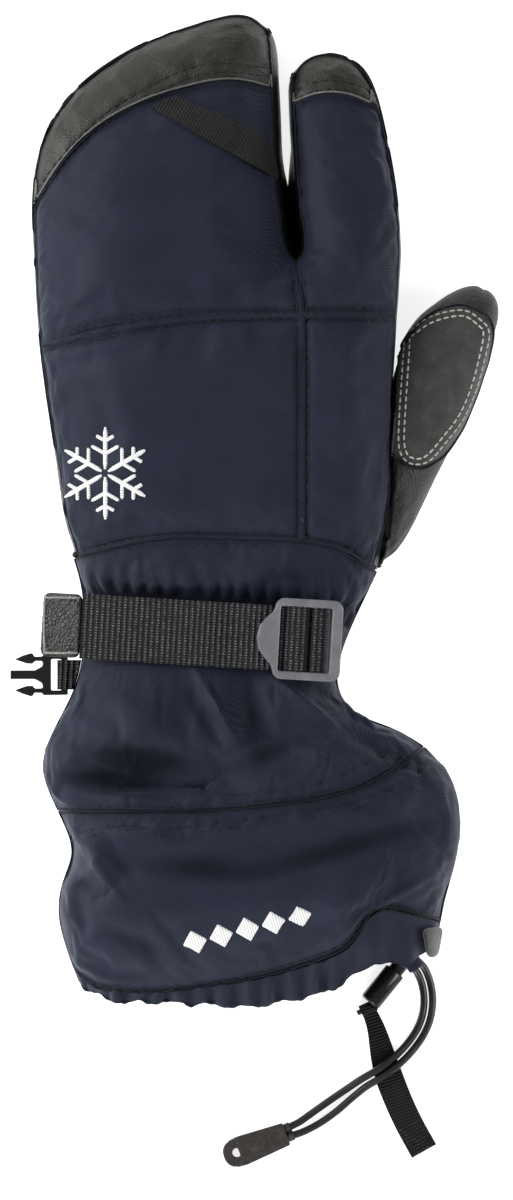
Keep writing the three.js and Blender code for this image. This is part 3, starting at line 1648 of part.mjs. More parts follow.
// Cord end: a flat moulding with a teardrop hole
const cordEndShape = new THREE.Shape();
cordEndShape.moveTo(0, -CORD_END.mouth);
cordEndShape.lineTo(CORD_END.straight, -CORD_END.far);
cordEndShape.bezierCurveTo(
  CORD_END.length - 1,
  -CORD_END.far,
  CORD_END.length,
  -CORD_END.far / 2,
  CORD_END.length,
  0,
);
cordEndShape.bezierCurveTo(
  CORD_END.length,
  CORD_END.far / 2,
  CORD_END.length - 1,
  CORD_END.far,
  CORD_END.straight,
  CORD_END.far,
);
cordEndShape.lineTo(0, CORD_END.mouth);
cordEndShape.closePath();
const teardrop = new THREE.Path();
teardrop.moveTo(CORD_END.holePoint, 0);
teardrop.absarc(CORD_END.holeAt, 0, CORD_END.hole, (Math.PI * 2) / 3, (-Math.PI * 2) / 3, true);
teardrop.closePath();
cordEndShape.holes.push(teardrop);
const cordEnd = add("cord_end", slab(cordEndShape, CORD_END.thick, 5), "cord");
cordEnd.position.set(CORD_END.x, CORD_END.y, 0);
cordEnd.rotation.z = CORD_END.turn;

// Pull ribbon, flat on the table
const ribbonLine = walk(curveThrough(PULL_RIBBON_ROUTE, SEAM_PIECES), PULL_RIBBON_PIECES);
const halfAt = (y) => readTable([...PULL_RIBBON_ROUTE].reverse(), "half", y);
const ribbonAt = (z) =>
  ribbonLine.map((p, i) => {
    const across = outwardAt(ribbonLine, Math.max(i - 0.5, 0));
    const half = halfAt(p.y);
    return [-1, 1].map(
      (side) => new THREE.Vector3(p.x + side * half * across.x, p.y + side * half * across.y, z),
    );
  });
add("pull_ribbon", wallFrom(ribbonAt(PULL_RIBBON_THICK), ribbonAt(0)), "webbing");

export default group;
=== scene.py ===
"""A left-hand winter mitten with a separate index finger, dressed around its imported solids.

Metres. +X points to the thumb side, +Y to the fingertips, +Z up from the table. The tables of
seams, folds and routes are in millimetres in the same frame, and MM turns them into metres.
"""

import math

import bmesh
import bpy
import numpy as np
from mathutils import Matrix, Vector, kdtree, noise
from mathutils.bvhtree import BVHTree


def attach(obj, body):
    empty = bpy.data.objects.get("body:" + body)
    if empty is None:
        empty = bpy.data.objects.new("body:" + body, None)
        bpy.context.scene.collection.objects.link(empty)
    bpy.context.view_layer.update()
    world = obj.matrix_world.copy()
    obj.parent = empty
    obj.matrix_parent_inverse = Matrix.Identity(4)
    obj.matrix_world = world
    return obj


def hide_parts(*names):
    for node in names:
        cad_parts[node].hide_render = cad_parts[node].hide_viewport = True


bl_info = {
    "name": "Winter Mitten",
    "version": (1, 0, 0),
    "blender": (4, 5, 0),
    "location": "View3D > Sidebar > Mitten",
    "description": "Builds the cloth, leather, stitching and fittings of a padded winter mitten",
    "category": "Add Mesh",
}

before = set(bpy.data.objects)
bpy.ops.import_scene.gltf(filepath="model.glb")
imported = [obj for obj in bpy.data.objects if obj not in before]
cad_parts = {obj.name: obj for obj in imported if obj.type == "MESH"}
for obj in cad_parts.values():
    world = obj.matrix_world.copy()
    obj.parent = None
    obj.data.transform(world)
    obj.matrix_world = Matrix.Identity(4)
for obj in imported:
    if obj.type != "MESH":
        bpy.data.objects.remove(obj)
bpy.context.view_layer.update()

MM = 0.001
GLOVE = "mitten"
PRESSED = "plunger"


# Sizes and colours that a user would change
def length_setting(name, text, default):
    return bpy.props.FloatProperty(
        name=name, description=text, default=default, subtype="DISTANCE", unit="LENGTH", precision=5
    )


def colour_setting(name, text, default):
    return bpy.props.FloatVectorProperty(
        name=name, description=text, default=default, size=3, min=0, max=1, subtype="COLOR"
    )


class MittenSizes(bpy.types.PropertyGroup):
    seam_dip: length_setting("Seam dip", "How far the padded shell sinks at a seam", 0.0011)
    seam_reach: length_setting("Seam reach", "Distance over which it rises again", 0.0028)
    puff: length_setting("Puff", "How far the padding swells between seams", 0.0007)
    pucker: length_setting("Pucker", "Height of the puckers along a seam", 0.00035)
    stitch_long: length_setting("Stitch", "Length of one stitch", 0.0025)
    stitch_gap: length_setting("Stitch gap", "Space between two stitches", 0.0009)
    stitch_thick: length_setting("Thread", "Thickness of the thread", 0.0005)
    cord_diameter: length_setting("Cord", "Diameter of the drawcord", 0.0027)
    satin_high: length_setting("Satin", "Height of the embroidery", 0.0006)


class MittenColours(bpy.types.PropertyGroup):
    navy: colour_setting("Navy cloth", "Woven stretch shell", (0.0104, 0.0126, 0.0222))
    leather: colour_setting("Black leather", "Caps, side strips, palm and thumb", (0.0140, 0.0137, 0.0125))
    lining: colour_setting("Lining", "Fleece inside the shell", (0.022, 0.022, 0.024))
    suede: colour_setting("Grey suede", "Patch over the thumb", (0.030, 0.030, 0.029))
    webbing: colour_setting("Black webbing", "Strap and ribbons", (0.009, 0.009, 0.010))
    buckle: colour_setting("Grey plastic", "Ladder lock", (0.165, 0.163, 0.180))
    plastic: colour_setting("Black plastic", "Clip and cord lock", (0.010, 0.010, 0.011))
    cord: colour_setting("Cord", "Elastic drawcord", (0.012, 0.0115, 0.012))
    rubber: colour_setting("Rubber", "Cord end", (0.026, 0.022, 0.020))
    white_thread: colour_setting("White thread", "Embroidery", (0.85, 0.85, 0.84))
    cream_thread: colour_setting("Cream thread", "Stitching round the thumb patch", (0.50, 0.49, 0.44))
    dark_thread: colour_setting("Dark thread", "Stitching on the shell", (0.004, 0.0045, 0.009))
    floor: colour_setting("Floor", "Pale ground under the mitten", (0.93, 0.93, 0.93))


def sizes():
    return bpy.context.scene.mitten_sizes


def base_colour(name, share=1.0):
    """A colour of the settings, darkened or lightened."""
    return tinted(tuple(getattr(bpy.context.scene.mitten_colours, name)), share)


def tinted(colour, share):
    return tuple(min(1.0, c * share) for c in colour)


def shifted(line, dx, dy):
    return [(x + dx, y + dy) for x, y in line]


# Seams on the back, in millimetres: each is a run of (x, y)
CAP_STITCH = [
    (-66, 83.5), (-57.2, 95.8), (-43.2, 110.2), (-31.3, 118.4), (-19.4, 124.9), (-7.9, 129.6), (4, 130.7),
    (17.4, 129.4),
]
INDEX_CAP_STITCH = [(27.8, 121.6), (33.1, 123.8), (42.1, 124.9), (50.8, 122.8), (57, 119.8)]
KNUCKLE_UPPER = [
    (-60, 33.6), (-43.2, 38.2), (-31.3, 40.3), (-19.4, 41.8), (-7.9, 42.5), (15.8, 42.5), (31, 42.8),
    (45.4, 43.2), (62, 42.4),
]
KNUCKLE_LOWER = [
    (-60.4, 28.4), (-43.2, 31.7), (-25.6, 35.3), (-13.7, 37.3), (4, 38.6), (27.4, 39), (62, 38.5),
]
INDEX_SEAM = [(29, 53), (30.1, 40.7), (30.4, 10), (30.2, -39)]
WRIST_UPPER = [
    (-45, -43), (-32.4, -40), (-13.7, -37.6), (4, -37.2), (21.6, -37.6), (33, -39), (45.5, -42), (53, -46),
]
WRIST_LOWER = [(-33.8, -43.6), (-19.4, -41.8), (4, -41.6), (21.6, -42)]
CUFF_FIRST = [(-11.5, -127.5), (4, -130.3), (21.6, -128.9), (39.2, -125.3), (56.9, -117.7), (61.6, -113.8)]
CUFF_SECOND = [
    (-57, -138.2), (-43.2, -135.2), (-25.6, -134.6), (-7.9, -135.2), (9.7, -134.4), (27.4, -132),
    (45.4, -128.6), (60.5, -121.6), (69, -115.6),
]
CUFF_THIRD = [
    (-53.5, -145.4), (-39.6, -141.8), (-29.2, -141.5), (-19.4, -143), (-1.8, -140.8), (21.6, -138),
    (45.4, -134), (63, -128), (75, -119.6),
]
HEM_LINE = [
    (-51.8, -192.5), (-43.2, -198.8), (-29.2, -200.2), (-13.7, -199.9), (4, -196.8), (21.6, -192.6),
    (39.2, -186.6), (46, -183.6), (49.4, -179), (52.2, -174.2), (58.3, -169.6), (66, -170.6), (76, -174),
]
INDEX_ROWS = [shifted(INDEX_SEAM, aside, 0) for aside in (-1.6, 1.6)]
TOPSTITCHES = [
    KNUCKLE_UPPER, KNUCKLE_LOWER, WRIST_UPPER, CUFF_FIRST, CUFF_SECOND, CUFF_THIRD, CAP_STITCH,
    INDEX_CAP_STITCH, HEM_LINE, *INDEX_ROWS,
]
SEAM_ROWS = [
    KNUCKLE_UPPER, KNUCKLE_LOWER, WRIST_UPPER, WRIST_LOWER, CUFF_FIRST, CUFF_SECOND, CUFF_THIRD,
    shifted(KNUCKLE_UPPER, 0, -1.7), shifted(CUFF_THIRD, 0, -2.2), CAP_STITCH, INDEX_CAP_STITCH,
    HEM_LINE, shifted(CAP_STITCH, 0.8, -3.2), shifted(INDEX_CAP_STITCH, 0.8, -3.2), *INDEX_ROWS,
]

# Other outlines on the mitten, in millimetres
THUMB_PATCH = [
    (65.9, 33.8), (73.4, 40), (80.6, 42.8), (88.9, 43.6), (94.7, 40), (98.3, 35.3), (96.8, 25.9), (93.6, 14),
    (88.9, 3.2), (82.8, -5), (76, -12.6), (68.8, -13.7), (64.4, -9.7), (63.4, -2.5), (64.4, 15.1),
]
CAP_EDGE = [
    (-66, 80.5), (-60.8, 88.9), (-49, 103), (-37.1, 111.2), (-25.6, 117), (-13.7, 121.3), (-1.8, 124.9),
    (9.7, 125.6), (17, 124),
]
INDEX_CAP_EDGE = [(27.6, 116.8), (33.1, 119.5), (42.1, 120.4), (50.8, 119.5), (57, 117)]
TAB_ZIGZAG = [(-50.6 + 1.7 * (k % 2), -80.6 + 1.5 * k) for k in range(15)]
TAB_BORDER = [(-50.4, -78.6), (-60.4, -78.6), (-60.4, -61.8), (-50.4, -61.8)]
TAB_BINDING = [(-49.2, -80), (-60.4, -80), (-61.8, -78.6), (-61.8, -61.6), (-60.4, -60.4), (-49.2, -60.4)]
TIP_SEAMS = [(18.4, 142.6), (26.9, 126.8)]  # where the caps meet the leather between the fingers
WRIST_SEAMS = [(-51.0, -45.0), (55.6, -49.4)]  # where the hand meets the gauntlet at its sides
WRIST_SEAM_HEIGHTS = (6.5, 16, 31)

# Ridges (above 0) and furrows (below 0) over the folds that the solids already hold:
# from x, y to x, y, width and height in millimetres
CREASES = [
    (-8, -86, 8.5, -116, 1.25, 1.9),
    (-12, -90, 1, -112, 3.4, -1.6),
    (11, -88, 15, -118, 4.2, -1.9),
    (19, -88, 42, -107, 1.3, 1.9),
    (27, -88, 48, -100, 2.6, -1.4),
    (34, -110, 10, -119, 3.4, -1.5),
    (44, -108, 66, -118, 2.4, -1.1),
    (-46, -116, -8, -121, 5.6, -3.9),
    (-57, -124, -22, -127, 3.8, -3.4),
    (-54, -131, -20, -131.5, 2.2, 1.3),
    (-50, -146, -34, -168, 1.5, 1.6),
    (-54, -158, -44, -166, 3.6, -2.0),
    (-42, -146, -30, -160, 2.6, -1.5),
    (-42, -178, -20, -187, 3.5, -1.4),
    (-28, -155, 18, -158, 4.6, -2.3),
    (12, -158, 76, -141, 4.4, -2.4),
    (49, -175, 77, -158.5, 1.6, 1.4),
    (34, -176, 50, -166, 3, 1.1),
    (56, -112, 60, -119, 1.3, -0.8),
    (64, -112, 67, -121, 1.3, -0.8),
    (71, -116, 73, -126, 1.3, -0.8),
    (-30, -60, 6, -58, 2, -0.6),
    (8, -61, 38, -62, 2.2, -0.6),
    (-44, -8, -54, -30, 6, 0.6),
    (52, -22, 57, -44, 3, -0.7),
    (46, -34, 50, -52, 2.6, -0.7),
    (50, 26, 62, 14, 4, 0.5),
    (48, 6, 60, -6, 4, -0.5),
    (-60, 20, -48, 6, 5, -0.5),
]

# Spines inside the shell, from which outward is told: (x, y, z)
MITTEN_SPINE = [(-20, 125, 16), (-22, 60, 20), (-14, 0, 22), (-4, -70, 20), (8, -125, 26), (10, -205, 24)]
INDEX_SPINE = [(42, 118, 15), (46, 70, 18), (40, 40, 22), (30, 0, 22)]
THUMB_SPINE = [(50, -40, 14), (72, -8, 15), (84, 22, 15), (90, 40, 15)]


# Helpers for modelling by hand
def deselect():
    for obj in bpy.context.selected_objects:
        obj.select_set(False)


def work_on(obj):
    deselect()
    obj.select_set(True)
    bpy.context.view_layer.objects.active = obj


def new_object(name, mesh):
    obj = bpy.data.objects.new(name, mesh)
    bpy.context.collection.objects.link(obj)
    return obj


def mesh_piece(name, points, faces):
    mesh = bpy.data.meshes.new(name)
    mesh.from_pydata([tuple(p) for p in points], [], [tuple(f) for f in faces])
    obj = new_object(name, mesh)
    mesh.polygons.foreach_set("use_smooth", [True] * len(mesh.polygons))
    return obj


def read_points(mesh):
    flat = np.empty(len(mesh.vertices) * 3, np.float32)
    mesh.vertices.foreach_get("co", flat)
    return flat.reshape(-1, 3).astype(float)


def read_normals(mesh):
    flat = np.empty(len(mesh.vertices) * 3, np.float32)
    mesh.vertex_normals.foreach_get("vector", flat)
    return flat.reshape(-1, 3).astype(float)


def write_points(mesh, points):
    mesh.vertices.foreach_set("co", points.astype(np.float32).ravel())
    mesh.update()


def apply(obj, kind, **settings):
    """Adds a modifier with these settings and applies it."""
    work_on(obj)
    modifier = obj.modifiers.new(kind.title(), kind)
    for key, value in settings.items():
        setattr(modifier, key, value)
    bpy.ops.object.modifier_apply(modifier=modifier.name)


def finish_piece(obj, finish, *nodes, body=GLOVE, slot=None):
    """Gives a piece its material, the nodes it stands for and its body; the slot is not used."""
    obj.data.materials.clear()
    obj.data.materials.append(material(finish))
    if nodes:
        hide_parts(*nodes)
    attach(obj, body)
    return obj


WELD = 0.02 * MM  # points of a solid's mesh that are closer are one
QUAD_FACE, QUAD_SHAPE = math.radians(60), math.radians(75)


def edit_copy(node, name, sharp=179):
    """A copy of a solid's mesh as clean quads, with the edges over this many degrees creased."""
    obj = new_object(name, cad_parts[node].data.copy())
    obj.data.name = name
    obj.data.materials.clear()
    work_on(obj)
    bpy.ops.mesh.customdata_custom_splitnormals_clear()
    bpy.ops.object.mode_set(mode="EDIT")
    bpy.ops.mesh.select_all(action="SELECT")
    bpy.ops.mesh.remove_doubles(threshold=WELD)
    bpy.ops.mesh.tris_convert_to_quads(face_threshold=QUAD_FACE, shape_threshold=QUAD_SHAPE)
    bpy.ops.mesh.select_all(action="DESELECT")
    bpy.ops.mesh.select_mode(type="EDGE")
    bpy.ops.mesh.edges_select_sharp(sharpness=math.radians(sharp))
    bpy.ops.transform.edge_crease(value=1)
    bpy.ops.mesh.select_all(action="DESELECT")
    bpy.ops.object.mode_set(mode="OBJECT")
    return obj


def subdivide(obj, levels):
    apply(obj, "SUBSURF", levels=levels, render_levels=levels)


def made(*names):
    return [bpy.data.objects[name] for name in names]


def shade_by_angle(obj, degrees):
    work_on(obj)
    bpy.ops.object.shade_smooth_by_angle(angle=math.radians(degrees))


# The outer skin of a wall
def nearest_on_spine(spine, point):
    best = None
    for a, b in zip(spine, spine[1:]):
        start, run = Vector(a) * MM, (Vector(b) - Vector(a)) * MM
        t = max(0.0, min(1.0, (point - start).dot(run) / run.length_squared))
        place = start + run * t
        if best is None or (point - place).length < (point - best).length:
            best = place
    return best


FINGERS_START = 30 * MM
PARTING = (28.1 * MM, 62 * MM, -0.072)  # x and y of the gap between the fingers, and how x changes with y


def spine_for(node, point):
    if node.startswith("thumb"):
        return THUMB_SPINE
    x, y, lean = PARTING
    if point.y > FINGERS_START and point.x > x + lean * (point.y - y):
        return INDEX_SPINE
    return MITTEN_SPINE


def smooth_parts(work):
    """The faces of a bmesh in groups, which its creased edges part."""
    work.faces.ensure_lookup_table()
    crease = work.edges.layers.float.get("crease_edge")
    seen, parts = set(), []
    for first in work.faces:
        if first.index in seen:
            continue
        part, todo = [], [first]
        seen.add(first.index)
        while todo:
            face = todo.pop()
            part.append(face)
            for edge in face.edges:
                if crease is not None and edge[crease] > 0.5:
                    continue
                for other in edge.link_faces:
                    if other.index not in seen:
                        seen.add(other.index)
                        todo.append(other)
        parts.append(part)
    return parts


SMALL_PART = 0.04  # share of the area below which a part is a border, not a side
MAIN_PART = 0.6  # above this share a part holds both sides
FACING = 0.5  # how much of its area an outer side turns outward


def mark_skin(obj, node):
    """Stores skin, which is 1 on the wall's outer side, and rim, which is 1 on that side's border."""
    mesh = obj.data
    work = bmesh.new()
    work.from_mesh(mesh)
    parts = smooth_parts(work)
    total = sum(face.calc_area() for face in work.faces)
    skin = np.zeros(len(work.verts), np.float32)
    inner = np.zeros(len(work.verts), bool)
    for part in parts:
        outward = []
        for face in part:
            middle = face.calc_center_median()
            away = (middle - nearest_on_spine(spine_for(node, middle), middle)).normalized()
            outward.append(away.dot(face.normal) * face.calc_area())
        area = sum(face.calc_area() for face in part)
        outside = area > SMALL_PART * total and sum(outward) > FACING * area
        both_sides = area > MAIN_PART * total
        for face, out in zip(part, outward):
            for vert in face.verts:
                if out > 0 if both_sides else outside:
                    skin[vert.index] = 1
                else:
                    inner[vert.index] = True
    rim = np.where((skin > 0.5) & inner, 1, 0).astype(np.float32)
    work.free()
    for name, values in (("skin", skin), ("rim", rim)):
        attribute = mesh.attributes.new(name, "FLOAT", "POINT")
        attribute.data.foreach_set("value", values)


def read_attribute(mesh, name):
    values = np.empty(len(mesh.vertices), np.float32)
    mesh.attributes[name].data.foreach_get("value", values)
    return values.astype(float)


def beside_segment(points, start, end):
    """Where points lie beside a segment in plan: shares along it, and distances in metres.

    Its start and end are in millimetres.
    """
    a = np.array(start) * MM
    run = (np.array(end) - np.array(start)) * MM
    t = np.clip(((points[:, :2] - a) @ run) / (run @ run), 0, 1)
    away = points[:, :2] - a - t[:, None] * run
    return t, np.hypot(away[:, 0], away[:, 1])


def distance_to_line(points, line):
    """Distances in plan, in metres, from points to a run of (x, y) in millimetres."""
    return np.min([beside_segment(points, a, b)[1] for a, b in zip(line, line[1:])], axis=0)


def tree_of(points):
    tree = kdtree.KDTree(len(points))
    for i, point in enumerate(points):
        tree.insert(point, i)
    tree.balance()
    return tree


RIM_WHOLE = 0.995


def distance_to_rim(mesh, points):
    rim = read_attribute(mesh, "rim") > RIM_WHOLE
    if not rim.any():
        return np.full(len(points), 1.0)
    tree = tree_of(points[rim])
    return np.array([tree.find(p)[2] for p in points])


CREASE_ENDS = 0.3  # height of a crease at its ends, as a share of its middle


def crease_height(points):
    """Sum of the small folds, in metres."""
    total = np.zeros(len(points))
    for ax, ay, bx, by, width, height in CREASES:
        t, away = beside_segment(points, (ax, ay), (bx, by))
        near = np.exp(-((away / (width * MM)) ** 2))
        total += height * MM * near * (CREASE_ENDS + (1 - CREASE_ENDS) * np.sin(math.pi * t))
    return total


SEED_SHIFT = (17.3, 5.1, 9.7)


def cloth_noise(points, scale, seed, stretch=(1, 1, 1)):
    """Smooth noise from -1 to 1 with waves of about this scale, in metres."""
    shift = Vector([seed * way for way in SEED_SHIFT])
    way = np.array(stretch) / scale
    return np.array([noise.noise(Vector(p * way) + shift) for p in points])


# Padded panels: what each is made of, how finely, and how much it puckers
PANELS = [
    # node, finish, subdivisions, padding, wrinkle height in mm, fill, growth in the simulation
    ("mitten_back", "navy", 3, 1.0, 0.2, 0.7, 0.02),
    ("index_back", "navy", 3, 1.0, 0.2, 0.7, 0.02),
    ("hand_back", "navy", 3, 1.0, 0.2, 0.6, 0.025),
    ("index_hand_back", "navy", 3, 1.0, 0.2, 0.6, 0.025),
    ("mitten_cap", "cap_leather", 3, 0.6, 0.25, 0.7, 0.02),
    ("index_cap", "cap_leather", 3, 0.6, 0.2, 0.7, 0.02),
    ("side_gusset_little", "leather", 2, 0.6, 0.35, 0.6, 0),
    ("finger_fourchette", "binding", 2, 0.5, 0.2, 0.5, 0),
    ("side_gusset_index", "leather", 2, 0.6, 0.35, 0.6, 0),
    ("palm_mitten", "leather", 2, 0.0, 0.0, 0.5, 0),
    ("palm_index", "leather", 2, 0.0, 0.0, 0.5, 0),
    ("gauntlet_upper_back", "navy", 3, 0.7, 0.35, 0.4, 0.05),
    ("gauntlet_lower_back", "navy", 3, 0.7, 0.35, 0.4, 0.045),
    ("gauntlet_upper_palm", "navy", 2, 0.0, 0.15, 0.3, 0),
    ("gauntlet_lower_palm", "navy", 2, 0.0, 0.15, 0.3, 0),
    ("hem_band", "navy", 2, 0.0, 0.3, 0.2, 0),
    ("thumb_shell", "leather", 2, 0.5, 0.4, 0.6, 0.03),
    ("thumb_patch", "suede", 3, 0.5, 0.12, 0.5, 0.0),
]
SOFT = [node + "_soft" for node, *_ in PANELS]

# Cloth simulation, and how far it may move a point
HELD_BORDER = 1.2 * MM
CLOTH_CAP = 2.2 * MM
CLOTH_SINK = 0.3 * MM
CLOTH_FRAMES = 16
CLOTH = {
    "quality": 4,
    "mass": 0.2,
    "tension_stiffness": 14,
    "compression_stiffness": 14,
    "shear_stiffness": 4,
    "bending_stiffness": 0.15,
    "use_pressure": True,
    "uniform_pressure_force": 4,
}

# Wrist strap: where its middle line starts, half its width, and how it turns from X
STRAP_START = (-49 * MM, -70.6 * MM)
STRAP_HALF = 11.5 * MM
STRAP_TURN = math.radians(3.4)
STRAP_REACH = 30 * MM  # how far below its upper edge the strap and its fittings hold the cloth
STRAP_ABOVE = 30 * MM  # and above which height

# Gathers at the wrist and ruffles at the hem. Each noise is its scale in metres and its seed, and a
# drift is how far, in radians, it moves the waves
GATHER_WAVE, GATHER_DRIFT, GATHER_NOISE = 0.95 * MM, 2.2, (0.012, 8)
GATHER_HIGH, GATHER_PLACE, GATHER_WIDE = 1.1 * MM, 7.5 * MM, 4.2 * MM
DIVE_DEEP, DIVE_SHORT, DIVE_LONGER, DIVE_END = 2.6 * MM, 2.2, 2.4, 6 * MM
RUFFLE_WAVE, RUFFLE_DRIFT, RUFFLE_NOISE = 1.25 * MM, 2.5, (0.014, 6)
RUFFLE_HIGH, RUFFLE_START, RUFFLE_CURVE, RUFFLE_FADE = 0.9 * MM, -0.186, 0.25, 0.012

# Padding. Each noise is its scale in metres, its seed and, where it has one, its stretch
HAND_BACKS = ("mitten_back", "index_back", "hand_back", "index_hand_back")
SIDE_STRIPS = ("side_gusset_little", "side_gusset_index")
SIDE_SWELL = 1.3 * MM  # the backs swell over the side strips
SIDE_SINK = 1.5 * MM  # and the strips sink between their seams
STRIP_REACH = 2.5 * MM
PUFF_REACH = 12 * MM
PUCKER_REACH = 6 * MM
PUCKER_NOISE = (0.0045, 3)
BROAD_NOISE = (0.022, 1, (1, 0.8, 1))
FINE_NOISE = (0.009, 2, (0.7, 1.3, 1))
FINE_SHARE = 0.45
STITCH_SINK = 0.45 * MM  # how far a row of stitches pulls the padding down
STITCH_REACH = 0.8 * MM
GAUNTLET_SINK = 0.7 * MM  # a thin wall sinks no further, so that its lining stays inside

# The gap between the fingers: its middle and how high and how far up its walls meet
GAP_MIDDLE = 0.0277  # x at GAP_END
GAP_LEAN = -0.109  # how that x changes along Y
GAP_END = 0.064
GAP_OPENS = 0.101  # above this Y the two walls stand apart
GAP_FADE = 0.016
GAP_HEIGHT = 0.013
GAP_SPREAD = 0.007
GAP_WIDE = 8 * MM
GAP_RIM = 3 * MM
GAP_PRESS = 1.2  # how flat the walls press on each other
GAP_PAST = 1.03  # and how far past the middle

FURROW_DEPTH = 2.4 * MM  # painted shade in folds and at seams is full at this depth
FLAT_BELOW = 2.5 * MM  # the shell is left as it is where it lies on the table
TABLE_FILM = 0.2 * MM


def hold_and_fill(obj, growth):
    """Fills a panel as its padding does: cloth under pressure, held at its seams and inside."""
    mesh = obj.data
    points = read_points(mesh)
    rim = distance_to_rim(mesh, points)
    free = read_attribute(mesh, "skin") * np.clip((rim - HELD_BORDER) / (2 * HELD_BORDER), 0, 1)
    free *= 1 - under_strap(points)
    held = obj.vertex_groups.new(name="held")
    for index, share in enumerate(free):
        held.add([index], 1 - share, "REPLACE")
    cloth = obj.modifiers.new("Cloth", "CLOTH")
    settings = cloth.settings
    for key, value in CLOTH.items():
        setattr(settings, key, value)
    settings.vertex_group_mass = held.name
    settings.shrink_min = -growth
    settings.effector_weights.gravity = 0
    cloth.collision_settings.use_collision = False
    cloth.point_cache.frame_end = CLOTH_FRAMES
    scene = bpy.context.scene
    for step in range(1, CLOTH_FRAMES + 1):
        scene.frame_set(step)
    shown = obj.evaluated_get(bpy.context.evaluated_depsgraph_get())
    moved = read_points(shown.data) - points
    far = np.linalg.norm(moved, axis=1)
    moved *= (np.minimum(far, CLOTH_CAP) / np.maximum(far, 1e-9))[:, None]
    normals = read_normals(mesh)
    along = (moved * normals).sum(axis=1)
    moved += normals * np.maximum(0, -CLOTH_SINK - along)[:, None]
    obj.modifiers.remove(cloth)
    obj.vertex_groups.remove(held)
    scene.frame_set(1)
    write_points(mesh, points + moved)


def bell(values, reach):
    """1 where values are 0, falling to 0 beyond this reach."""
    return np.exp(-((values / reach) ** 2))


def strap_edge(points):
    """How far beyond the strap's upper edge a point lies, in plan."""
    middle = STRAP_START[1] - math.tan(STRAP_TURN) * (points[:, 0] - STRAP_START[0])
    return points[:, 1] - (middle + STRAP_HALF)


def under_strap(points):
    """1 where the wrist strap and its fittings lie over the shell, 0 well away from them."""
    above = strap_edge(points)
    lower = np.clip((above + STRAP_REACH) / (4 * MM), 0, 1)
    upper = np.clip(-above / (3 * MM) + 1, 0, 1)
    return lower * upper * (points[:, 2] > STRAP_ABOVE)


def drifting(points, wave, drift, waves):
    """The phase of waves along X whose length wanders."""
    return points[:, 0] / wave + drift * cloth_noise(points * [1, 0, 0], *waves)


def wrist_gathers(points):
    """The shirred cloth that bulges over the strap and dives under it in scallops."""
    above = strap_edge(points)
    scallop = 0.5 + 0.5 * np.sin(drifting(points, GATHER_WAVE, GATHER_DRIFT, GATHER_NOISE))
    bulge = GATHER_HIGH * (0.5 + 0.7 * scallop) * bell(above - GATHER_PLACE, GATHER_WIDE)
    reach = (DIVE_SHORT + DIVE_LONGER * (1 - scallop)) * MM
    return bulge - DIVE_DEEP * bell(np.maximum(above, 0), reach) * (above > -DIVE_END)


def hem_ruffles(points):
    """Soft waves along the free edge of the hem."""
    start = RUFFLE_START - RUFFLE_CURVE * np.abs(points[:, 0])
    low = np.clip((start - points[:, 1]) / RUFFLE_FADE + 0.9, 0, 1)
    return RUFFLE_HIGH * low * np.sin(drifting(points, RUFFLE_WAVE, RUFFLE_DRIFT, RUFFLE_NOISE))


def close_gap(points, moved, skin, rim):
    """Lets the gap's two padded walls meet near its closed end."""
    middle = GAP_MIDDLE + GAP_LEAN * (points[:, 1] - GAP_END)
    share = skin * bell(points[:, 2] - GAP_HEIGHT, GAP_SPREAD) * (1 - bell(rim, GAP_RIM))
    share *= np.clip((GAP_OPENS - points[:, 1]) / GAP_FADE, 0, 1) * (np.abs(points[:, 0] - middle) < GAP_WIDE)
    moved[:, 0] += (middle - moved[:, 0]) * np.minimum(share * GAP_PRESS, GAP_PAST)


def shape_panel(obj, node, padding, wrinkle):
    """Swells a panel between its seams, sinks it at them and wrinkles it."""
    mesh = obj.data
    points = read_points(mesh)
    normals = read_normals(mesh)
    skin = read_attribute(mesh, "skin")
    size = sizes()
    rim = distance_to_rim(mesh, points)
    lift = -size.seam_dip * padding * bell(rim, size.seam_reach)
    lift += size.puff * padding * (1 - bell(rim, PUFF_REACH))
    on_back = np.clip(normals[:, 2] * 2, 0, 1)
    for line in TOPSTITCHES:
        lift -= STITCH_SINK * padding * on_back * bell(distance_to_line(points, line), STITCH_REACH)
    if node in HAND_BACKS:
        lift += SIDE_SWELL * np.clip((0.85 - normals[:, 2]) / 0.5, 0, 1)
    if node in SIDE_STRIPS:
        lift -= SIDE_SINK * (1 - bell(rim, STRIP_REACH))
    lift += size.pucker * padding * np.exp(-rim / PUCKER_REACH) * cloth_noise(points, *PUCKER_NOISE)
    if wrinkle:
        waves = cloth_noise(points, *BROAD_NOISE) + FINE_SHARE * cloth_noise(points, *FINE_NOISE)
        lift += wrinkle * MM * waves
    outer = np.where(skin > 0.5, 1.0, -1.0)
    upward = np.clip(normals[:, 2] * outer * 1.5, 0, 1)
    if node.startswith("gauntlet"):
        lift = np.maximum(lift, -GAUNTLET_SINK)
    whole = np.zeros(len(points))
    if node.endswith("_back"):
        whole += crease_height(points) * upward
    if node == "gauntlet_upper_back":
        whole += wrist_gathers(points) * upward
    if node == "hem_band":
        whole += hem_ruffles(points) * upward
    off_table = np.clip((points[:, 2] - TABLE_FILM) / FLAT_BELOW, 0, 1)
    moved = points + normals * ((lift * skin + whole * outer) * off_table)[:, None]
    # How deep each point lies in a fold or seam, from 0 to 1: the materials paint shade there by it
    furrow = np.clip(-(lift * skin + whole) / FURROW_DEPTH, 0, 1).astype(np.float32)
    mesh.attributes.new("furrow", "FLOAT", "POINT").data.foreach_set("value", furrow)
    if node == "finger_fourchette":
        close_gap(points, moved, skin, rim)
    moved[:, 2] = np.maximum(moved[:, 2], 0)
    write_points(mesh, moved)


# Materials: shader maths as Python expressions
WAVE_PERIOD = 0.31416  # period of a wave texture's bands at scale 1


